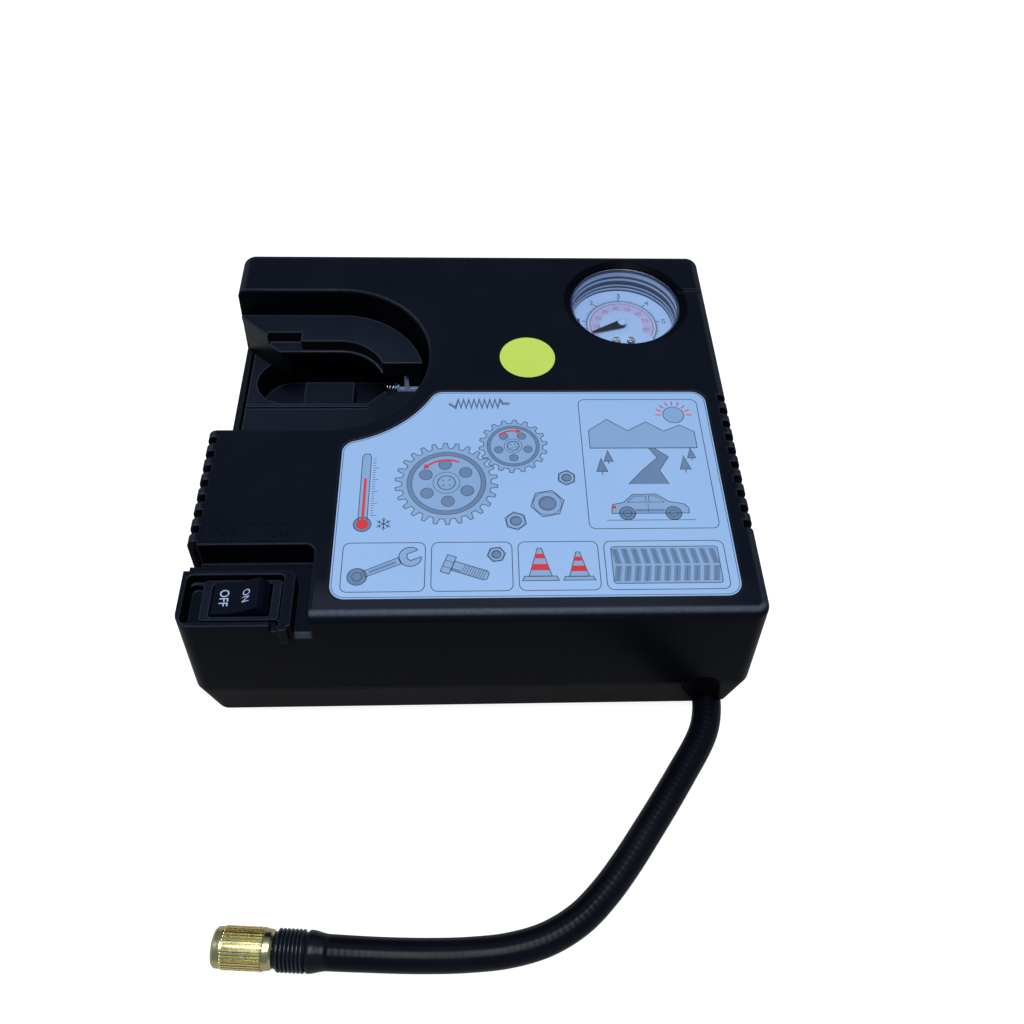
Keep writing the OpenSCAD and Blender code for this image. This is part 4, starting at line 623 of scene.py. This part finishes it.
class Print:
    """Print of one colour: thin closed plates between two heights, as one mesh."""

    def __init__(self, top, thick=0.02):
        self.low, self.high = (top - thick) * MM, top * MM
        self.verts, self.faces = [], []
        self.place(0, 0)

    def place(self, x, y, size=1.0, turn=0.0):
        """Where, how large and how far round the next shapes are drawn."""
        self.x, self.y, self.size, self.turn = x, y, size, math.radians(turn)

    def spot(self, p):
        c, s = math.cos(self.turn) * self.size, math.sin(self.turn) * self.size
        return Vector(((self.x + p[0] * c - p[1] * s) * MM, (self.y + p[0] * s + p[1] * c) * MM))

    def poly(self, points):
        """A filled outline, given counter-clockwise."""
        n, base = len(points), len(self.verts)
        flat = [self.spot(p) for p in points]
        self.verts += [(p.x, p.y, z) for z in (self.low, self.high) for p in flat]
        self.faces.append(tuple(range(base + n, base + 2 * n)))
        self.faces.append(tuple(range(base + n - 1, base - 1, -1)))
        for i in range(n):
            j = (i + 1) % n
            self.faces.append((base + i, base + j, base + n + j, base + n + i))

    def path(self, points, w, closed=False):
        """A line of one width through these points."""
        flat = [self.spot(p) for p in points]
        n, base, half = len(flat), len(self.verts), w / 2 * MM
        for i, p in enumerate(flat):
            back = (p - flat[i - 1]).normalized() if i or closed else None
            ahead = (flat[(i + 1) % n] - p).normalized() if i < n - 1 or closed else None
            back, ahead = back or ahead, ahead or back
            side = Vector((-(back + ahead).y, (back + ahead).x)).normalized()
            reach = half / max(0.45, side.dot(Vector((-ahead.y, ahead.x))))
            a, b = p - side * reach, p + side * reach
            self.verts += [(a.x, a.y, self.low), (b.x, b.y, self.low),
                           (b.x, b.y, self.high), (a.x, a.y, self.high)]
        for i in range(n if closed else n - 1):
            here, there = base + 4 * i, base + 4 * ((i + 1) % n)
            for k in range(4):
                m = (k + 1) % 4
                self.faces.append((here + k, here + m, there + m, there + k))
        if not closed:
            self.faces.append((base, base + 3, base + 2, base + 1))
            self.faces.append(tuple(base + 4 * (n - 1) + k for k in range(4)))

    def box(self, x0, y0, x1, y1):
        self.poly([(x0, y0), (x1, y0), (x1, y1), (x0, y1)])

    def ring(self, cx, cy, r, w, a0=0.0, a1=360.0):
        """An arc, or a whole ring."""
        whole = abs(a1 - a0) >= 360
        n = max(5, int(44 * abs(a1 - a0) / 360))
        self.path([about(r, a0 + (a1 - a0) * i / n, cx, cy) for i in range(n if whole else n + 1)],
                  w, whole)

    def disc(self, cx, cy, r):
        self.poly([about(r, 360 * i / 28, cx, cy) for i in range(28)])

    def tick(self, cx, cy, r0, r1, angle, w):
        self.path([about(r0, angle, cx, cy), about(r1, angle, cx, cy)], w)

    def rounded(self, x0, y0, x1, y1, r, w=None):
        """A rounded box, filled, or as a line of width w."""
        corners = ((x1 - r, y0 + r, -90), (x1 - r, y1 - r, 0), (x0 + r, y1 - r, 90),
                   (x0 + r, y0 + r, 180))
        points = [about(r, a0 + k * 22.5, cx, cy) for cx, cy, a0 in corners for k in range(5)]
        self.path(points, w, True) if w else self.poly(points)

    def bow(self, cx, cy, r, a0, a1, w, head):
        """A curved arrow from angle a0 to a1."""
        self.ring(cx, cy, r, w, a0, a1)
        a = math.radians(a1)
        way = 1 if a1 > a0 else -1
        end = about(r, a1, cx, cy)
        tip = (end[0] - math.sin(a) * way * head, end[1] + math.cos(a) * way * head)
        inner, outer = about(r - head * 0.6, a1, cx, cy), about(r + head * 0.6, a1, cx, cy)
        self.poly([outer, tip, inner] if way > 0 else [inner, tip, outer])

    def make(self, name, mat):
        obj = mesh_object(name, self.verts, self.faces, False)
        obj.data.materials.append(mat)
        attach(obj, "case")


# ------------------------------------------------------- the dial's print

SCALE_START, UNIT = 211.4, 40.6         # degrees: where both scales start, a unit of the outer
PER_TEN = UNIT / 1.45                   # degrees: two units of the inner
OUTER_R, INNER_R = 14.3, 13.05
black, red, blush = Print(DIAL_Z + 0.020), Print(DIAL_Z + 0.020), Print(DIAL_Z + 0.008, 0.016)
black.ring(GX, GY, OUTER_R, 0.36, SCALE_START - UNIT * 6, SCALE_START)
for i in range(61):
    angle = SCALE_START - UNIT * i / 10
    if i % 10:
        black.tick(GX, GY, 14.35, 15.7 if i % 5 == 0 else 15.2, angle, 0.24)
    else:
        black.tick(GX, GY, 14.35, 16.2, angle, 0.46)
        words(f"dial_number_{i // 10}", str(i // 10), (1.0 if i == 10 else 1.75, 2.6),
              (*about(17.75, angle, GX, GY), DIAL_Z + 0.01), M["print_blue"], thin=0.002)
red.ring(GX, GY, INNER_R, 0.34, SCALE_START - PER_TEN * 8.5, SCALE_START)
blush.ring(GX, GY, 10.9, 4.2, SCALE_START - PER_TEN * 8.5, SCALE_START)
for i in range(43):
    angle = SCALE_START - PER_TEN * i / 5
    whole = i % 5 == 0
    red.tick(GX, GY, 12.0 if whole else 12.45, 13.0, angle, 0.22 if whole else 0.13)
    if whole and i:
        words(f"dial_inner_{i * 2}", str(i * 2), (2.5, 2.1),
              (*about(10.2, angle, GX, GY), DIAL_Z + 0.016), M["print_rose"], thin=0.004)
black.make("dial_scale_black", M["print_blue"])
red.make("dial_scale_red", M["print_rose"])
blush.make("dial_band", M["print_blush"])


# ------------------------------------------------------- switch: words, and the raised panel

PIVOT = (-74.6, -74.6, 62.5)                                # the rocker's
LEAN = math.radians(14)                                     # of the rocker at rest
FALL, RISE = -math.atan2(1.1, 5.9), math.atan2(1.1, 5.5)    # slopes of its two faces


def on_rocker(name, text, fit, x, height, slope):
    """A word on one of the rocker's two faces, x from its pivot along its own top. height is
    the face's own at the pivot, carried on along its slope."""
    z = height + math.tan(slope) * x + 0.005
    centre = (PIVOT[0] + x * math.cos(LEAN) - z * math.sin(LEAN), PIVOT[1],
              PIVOT[2] + x * math.sin(LEAN) + z * math.cos(LEAN))
    words(name, text, fit, centre, M["pale_mark"], -math.pi / 2, "rocker", -(slope + LEAN))


on_rocker("word_off", "OFF", (6.0, 3.0), -4.1, 5.1 - math.tan(-FALL) * 7.4, FALL)
on_rocker("word_on", "ON", (4.6, 2.7), 3.3, 4.0 - math.tan(RISE) * 1.5, RISE)

RAISED = 0.14
panel = Print(72.10, RAISED)
panel.rounded(-89.2, -57.0, -58.9, -50.4, 1.0, 0.35)
panel.make("switch_panel", M["case"])
words("panel_off", "OFF", (8.8, 3.3), (-81.6, -53.9, 72.05), M["case"], thick=RAISED)
words("panel_on", "ON", (5.6, 3.3), (-63.6, -53.9, 72.05), M["case"], thick=RAISED)


# ------------------------------------------------------- the label's print: a generic design

wash, shade, ink, accent = Print(71.912), Print(71.918), Print(71.925), Print(71.931)
LINE = 0.28


def place(x, y, size=1.0, turn=0.0):
    for layer in (wash, shade, ink, accent):
        layer.place(x, y, size, turn)


def filled(points, w=LINE, layer=wash):
    layer.poly(points)
    ink.path(points, w, True)


def cog(x, y, r, teeth, turn, holes):
    place(x, y, 1.0, turn)
    tooth = ((0.05, 0.87), (0.2, 1.0), (0.48, 1.0), (0.63, 0.87))
    filled([about(r * out, 360 * (i + part) / teeth) for i in range(teeth) for part, out in tooth])
    shade.ring(0, 0, r * 0.72, r * 0.09)
    ink.ring(0, 0, r * 0.765, LINE * 0.8)
    ink.ring(0, 0, r * 0.675, LINE * 0.8)
    for i in range(holes):
        spot = about(r * 0.45, 360 * (i + 0.5) / holes)
        shade.disc(*spot, r * 0.125)
        ink.ring(*spot, r * 0.125, LINE * 0.8)
    ink.ring(0, 0, r * 0.17, LINE * 1.2)
    ink.ring(0, 0, r * 0.26, LINE * 0.7)
    for i in range(4):
        ink.tick(0, 0, r * 0.06, r * 0.12, 45 + 90 * i, LINE)


def nut(x, y, r, turn):
    place(x, y, 1.0, turn)
    filled([about(r, 60 * i) for i in range(6)], LINE * 1.1)
    ink.ring(0, 0, r * 0.82, LINE * 0.7)
    shade.disc(0, 0, r * 0.5)
    ink.ring(0, 0, r * 0.5, LINE)
    ink.ring(0, 0, r * 0.41, LINE * 0.6, 20, 290)


def bolt(x, y, turn):
    place(x, y, 1.0, turn)
    filled([(-7.2, -3.4), (-4.2, -3.4), (-4.2, 3.4), (-7.2, 3.4)])
    ink.path([(-7.2, -1.2), (-4.2, -1.2)], LINE * 0.7)
    ink.path([(-7.2, 1.2), (-4.2, 1.2)], LINE * 0.7)
    filled([(-4.2, -1.8), (7.0, -1.8), (7.8, -1.1), (7.8, 1.1), (7.0, 1.8), (-4.2, 1.8)])
    for i in range(10):
        ink.path([(-0.8 + 0.8 * i, -1.8), (-0.4 + 0.8 * i, 1.8)], LINE * 0.7)
    shade.box(-4.1, -1.7, -1.2, -0.8)


def spanner(x, y, turn):
    place(x, y, 1.0, turn)
    jaw = [(12.2, -1.4), (8.7, -1.4), (8.0, 0), (8.7, 1.4), (12.2, 1.4)]
    filled([about(3.7, a, 9.2) for a in range(30, 331, 20)] + jaw, LINE * 1.1)
    filled([(-6.6, -1.15), (5.7, -1.3), (5.7, 1.3), (-6.6, 1.15)])
    shade.rounded(-5.0, -0.45, 4.2, 0.45, 0.3)
    shade.disc(-9.0, 0, 3.1)
    ink.ring(-9.0, 0, 3.1, LINE * 1.1)
    filled([about(1.75, 30 + 60 * i, -9.0) for i in range(6)])


def coil_spring(x, y, rounds, w, pitch):
    place(x, y)
    end = rounds * pitch / 2
    points = [(-end - 2.4, 0)]
    for i in range(rounds):
        at = (i - rounds / 2) * pitch
        points += [(at, -w), (at + pitch / 2, w)]
    points += [(end, 0), (end + 2.4, 0)]
    shade.path(points, 0.95)
    for edge in (0.42, -0.42):
        ink.path([(px, py + edge) for px, py in points], LINE * 0.7)


def cone(x, y, size):
    place(x, y, size)
    filled([(-6.4, -6.4), (6.4, -6.4), (5.6, -4.6), (-5.6, -4.6)])
    filled([(-4.0, -4.6), (4.0, -4.6), (0.75, 7.0), (-0.75, 7.0)])
    accent.poly([(-3.3, -2.2), (3.3, -2.2), (2.6, 0.4), (-2.6, 0.4)])
    accent.poly([(-1.95, 2.7), (1.95, 2.7), (1.4, 4.7), (-1.4, 4.7)])


def tread(x, y, wide, high):
    """A band of tread blocks."""
    place(x, y)
    wash.rounded(0, 0, wide, high, 1.0)
    ink.rounded(0, 0, wide, high, 1.0, LINE)
    rows = int(wide / 3.1)
    for i in range(rows):
        px = (i + 0.5) * wide / rows
        for py, lean in ((0.8, 0.5), (high * 0.5 + 0.35, -0.5)):
            top = py + high * 0.5 - 1.15
            shade.poly([(px - 1.05 - lean, py), (px + 1.05 - lean, py), (px + 1.05 + lean, top),
                        (px - 1.05 + lean, top)])
            ink.path([(px - lean, py + 0.2), (px + lean, top - 0.2)], LINE * 0.6)


def car(x, y):
    place(x, y)
    filled([(-13, -2.6), (13.0, -2.6), (13.2, -0.6), (11.8, 1.2), (6.8, 2.2), (2.6, 5.4),
            (-5.4, 5.2), (-8.6, 2.0), (-12.6, 1.0), (-13, -1.6)], LINE * 1.1)
    ink.path([(-7.4, 2.0), (-4.9, 4.5), (-1.0, 4.6), (-1.0, 2.0)], LINE * 0.8, True)
    ink.path([(0.0, 2.0), (0.0, 4.6), (2.3, 4.6), (5.2, 2.0)], LINE * 0.8, True)
    ink.path([(-0.5, 2.0), (-0.5, -2.4)], LINE * 0.6)
    shade.box(-4.9, -1.9, 4.9, -0.9)
    accent.rounded(-12.8, -0.6, -11.4, 0.5, 0.25)
    for cx in (-7.8, 7.8):
        shade.disc(cx, -2.6, 2.7)
        ink.ring(cx, -2.6, 2.7, LINE * 1.1)
        ink.ring(cx, -2.6, 1.4, LINE * 0.8)
    ink.path([(-15, -5.4), (15, -5.4)], LINE * 0.8)


def road(x, y):
    """Hills, a low sun, a winding road and trees."""
    place(x, y)
    for i in range(9):
        accent.tick(12.5, 15.5, 4.6, 6.6, 22.5 * i, 0.45)
    wash.disc(12.5, 15.5, 3.8)
    ink.ring(12.5, 15.5, 3.8, LINE)
    filled([(-19, 0), (19, 0), (19, 7.5), (14, 10.6), (8, 7.8), (2, 12.2), (-5, 8.0),
            (-12, 13.4), (-19, 8.2)])
    shade.poly([(-7, -16), (7, -16), (4.4, -10), (8.2, -4), (3.6, 0), (1.6, 0), (4.2, -4.4),
                (-1.6, -10)])
    ink.path([(-7, -16), (-1.6, -10), (4.2, -4.4), (1.6, 0)], LINE)
    ink.path([(7, -16), (4.4, -10), (8.2, -4), (3.6, 0)], LINE)
    wash.path([(0, -15.4), (0.7, -12.6)], 0.6)
    wash.path([(1.6, -10.4), (3.0, -8.4)], 0.5)
    wash.path([(4.4, -7.0), (5.6, -5.2)], 0.4)
    ink.path([(-19, 0), (19, 0)], LINE)
    for px, py, h in ((-13, -6, 5.0), (-15.6, -10.5, 6.0), (13.6, -9.6, 6.0), (16.4, -4.6, 4.6)):
        filled([(px - h * 0.32, py), (px + h * 0.32, py), (px, py + h)], LINE * 0.9, shade)
        ink.path([(px, py), (px, py - h * 0.25)], LINE)


def mercury(x, y):
    """A long upright scale with a red column."""
    place(x, y)
    filled([(-1.5, 0), (1.5, 0), (1.5, 27), (0.9, 28.2), (-0.9, 28.2), (-1.5, 27)])
    shade.disc(0, -1.6, 2.9)
    ink.ring(0, -1.6, 2.9, LINE)
    accent.disc(0, -1.6, 2.0)
    accent.path([(0, 0.42), (0, 17.5)], 0.9)
    for i in range(25):
        ink.path([(2.3, 2 + i), (3.3 if i % 5 else 4.4, 2 + i)], LINE * 0.7)


def flake(x, y, r):
    """A snowflake."""
    place(x, y)
    for angle in range(30, 390, 60):
        ink.tick(0, 0, 0, r, angle, LINE * 1.1)
        for turn in (-28, 28):
            ink.path([about(r * 0.5, angle), about(r * 0.78, angle + turn * 0.7)], LINE)


def label_edge(inset):
    """The outline of the label's top face, drawn in by inset."""
    mesh = nodes["label_plate"].data
    at = [v.co for v in mesh.vertices]
    top = max(co.z for co in at) - 1e-5
    count = {}
    for face in mesh.polygons:
        if all(at[i].z > top for i in face.vertices):
            for key in face.edge_keys:
                count[key] = count.get(key, 0) + 1
    follow = {}
    for (a, b), times in count.items():
        if times == 1:
            follow.setdefault(a, []).append(b)
            follow.setdefault(b, []).append(a)
    start = min(follow, key=lambda i: (at[i].x, at[i].y))
    loop, last = [start], None
    while True:
        step = [i for i in follow[loop[-1]] if i != last][0]
        last = loop[-1]
        if step == start and len(loop) > 2:
            break
        loop.append(step)
    spots = [at[i].xy / MM for i in loop]
    slim = [p for i, p in enumerate(spots) if (p - spots[i - 1]).length > 0.2]
    if sum(a.x * b.y - b.x * a.y for a, b in zip(slim, slim[1:] + slim[:1])) < 0:
        slim.reverse()
    out = []
    for i, p in enumerate(slim):
        ahead, back = slim[(i + 1) % len(slim)] - p, p - slim[i - 1]
        t = (ahead.normalized() + back.normalized()).normalized()
        out.append((p.x - t.y * inset, p.y + t.x * inset))
    return out


ink.path(label_edge(0.55), 0.22, True)
# frames: a wide landscape at the right, and small tiles with a band of tread along the front
for x0, y0, x1, y1 in ((38, -53, 81.5, 4.5), (-42.5, -76.5, -16, -58), (-14, -76.5, 12, -58),
                       (14, -76.5, 40, -58), (42, -76.5, 81.5, -58)):
    ink.rounded(x0, y0, x1, y1, 2.2, LINE)

cog(-9.5, -33.5, 17.5, 26, 4, 6)
accent.bow(0, 0, 9.9, 60, 128, 0.7, 2.0)
cog(13.7, -17.3, 12.0, 18, 19, 5)
accent.bow(0, 0, 6.9, 118, 60, 0.7, 1.9)
nut(24.5, -42.5, 5.8, 12)
nut(13.6, -49.6, 3.7, 40)
nut(31.6, -31.6, 3.2, 25)
mercury(-37.0, -49.0)
flake(-30.0, -50.5, 2.6)
coil_spring(2.0, 2.6, 9, 2.0, 1.9)
spanner(-29.2, -67.2, 24)
bolt(-3.2, -68.4, -20)
nut(6.9, -62.8, 3.0, 8)
cone(20.9, -67.0, 0.92)
cone(33.3, -67.7, 0.80)
tread(44.2, -74.2, 35.1, 14.0)
road(59.8, -18.5)
car(59.0, -44.2)

wash.make("label_wash", M["print_wash"])
shade.make("label_shade", M["print_shade"])
ink.make("label_lines", M["print_blue"])
accent.make("label_accents", M["print_red"])


# ------------------------------------------------------- floor, light

def stage_floor():
    """A plain floor that the camera sees as white, and that glows little in metal and glass."""
    size = 3.0
    corners = [(-size, -size, 0), (size, -size, 0), (size, size, 0), (-size, size, 0)]
    obj = mesh_object("floor", corners, [(0, 1, 2, 3)], False)
    n = Nodes("floor_pale")
    path = n.new("ShaderNodeLightPath").outputs
    grey = n.mix(n.noise(n.where(), 6.0), (0.40, 0.40, 0.40), (0.42, 0.42, 0.42))
    mirrored = n.math('MAXIMUM', path["Is Glossy Ray"], path["Is Transmission Ray"])
    glow = n.math('MAXIMUM', n.times(path["Is Camera Ray"], 0.90), n.times(mirrored, 0.06))
    n.set(Base_Color=n.mix(path["Is Camera Ray"], grey, (0.32, 0.32, 0.32)), Roughness=0.85,
          Specular_IOR_Level=0.1, Emission_Color=(1, 1, 1, 1), Emission_Strength=glow)
    obj.data.materials.append(n.mat)


def area(name, spot, target, width, height, power, colour):
    data = bpy.data.lights.new(name, 'AREA')
    data.energy = power
    data.color = colour
    data.shape = 'RECTANGLE'
    data.size = width
    data.size_y = height
    obj = bpy.data.objects.new(name, data)
    obj.location = spot
    direction = Vector(target) - Vector(spot)
    obj.rotation_euler = direction.to_track_quat('-Z', 'Y').to_euler()
    scene.collection.objects.link(obj)
    return obj


def make_world():
    """Soft blue light from all round, which the camera sees as white."""
    world = bpy.data.worlds.new("studio")
    world.use_nodes = True
    tree = world.node_tree
    sky = tree.nodes["Background"]
    sky.inputs["Color"].default_value = (0.60, 0.78, 1.0, 1.0)
    sky.inputs["Strength"].default_value = 0.30
    white = tree.nodes.new("ShaderNodeBackground")
    white.inputs["Color"].default_value = (1, 1, 1, 1)
    white.inputs["Strength"].default_value = 1.0
    path = tree.nodes.new("ShaderNodeLightPath")
    mix = tree.nodes.new("ShaderNodeMixShader")
    tree.links.new(path.outputs["Is Camera Ray"], mix.inputs[0])
    tree.links.new(sky.outputs[0], mix.inputs[1])
    tree.links.new(white.outputs[0], mix.inputs[2])
    tree.links.new(mix.outputs[0], tree.nodes["World Output"].inputs["Surface"])
    scene.world = world


stage_floor()
area("overhead", (0.0, -0.22, 1.10), (0, -0.219, 0), 0.5, 0.6, 9.0, (0.94, 0.97, 1.0))
low_left = area("low_left", (-0.85, -0.10, 0.40), (0, 0.02, 0.05), 0.3, 0.3, 1.7,
                (1.0, 0.74, 0.60))
low_left.visible_glossy = False
make_world()

scene.view_settings.view_transform = 'Standard'
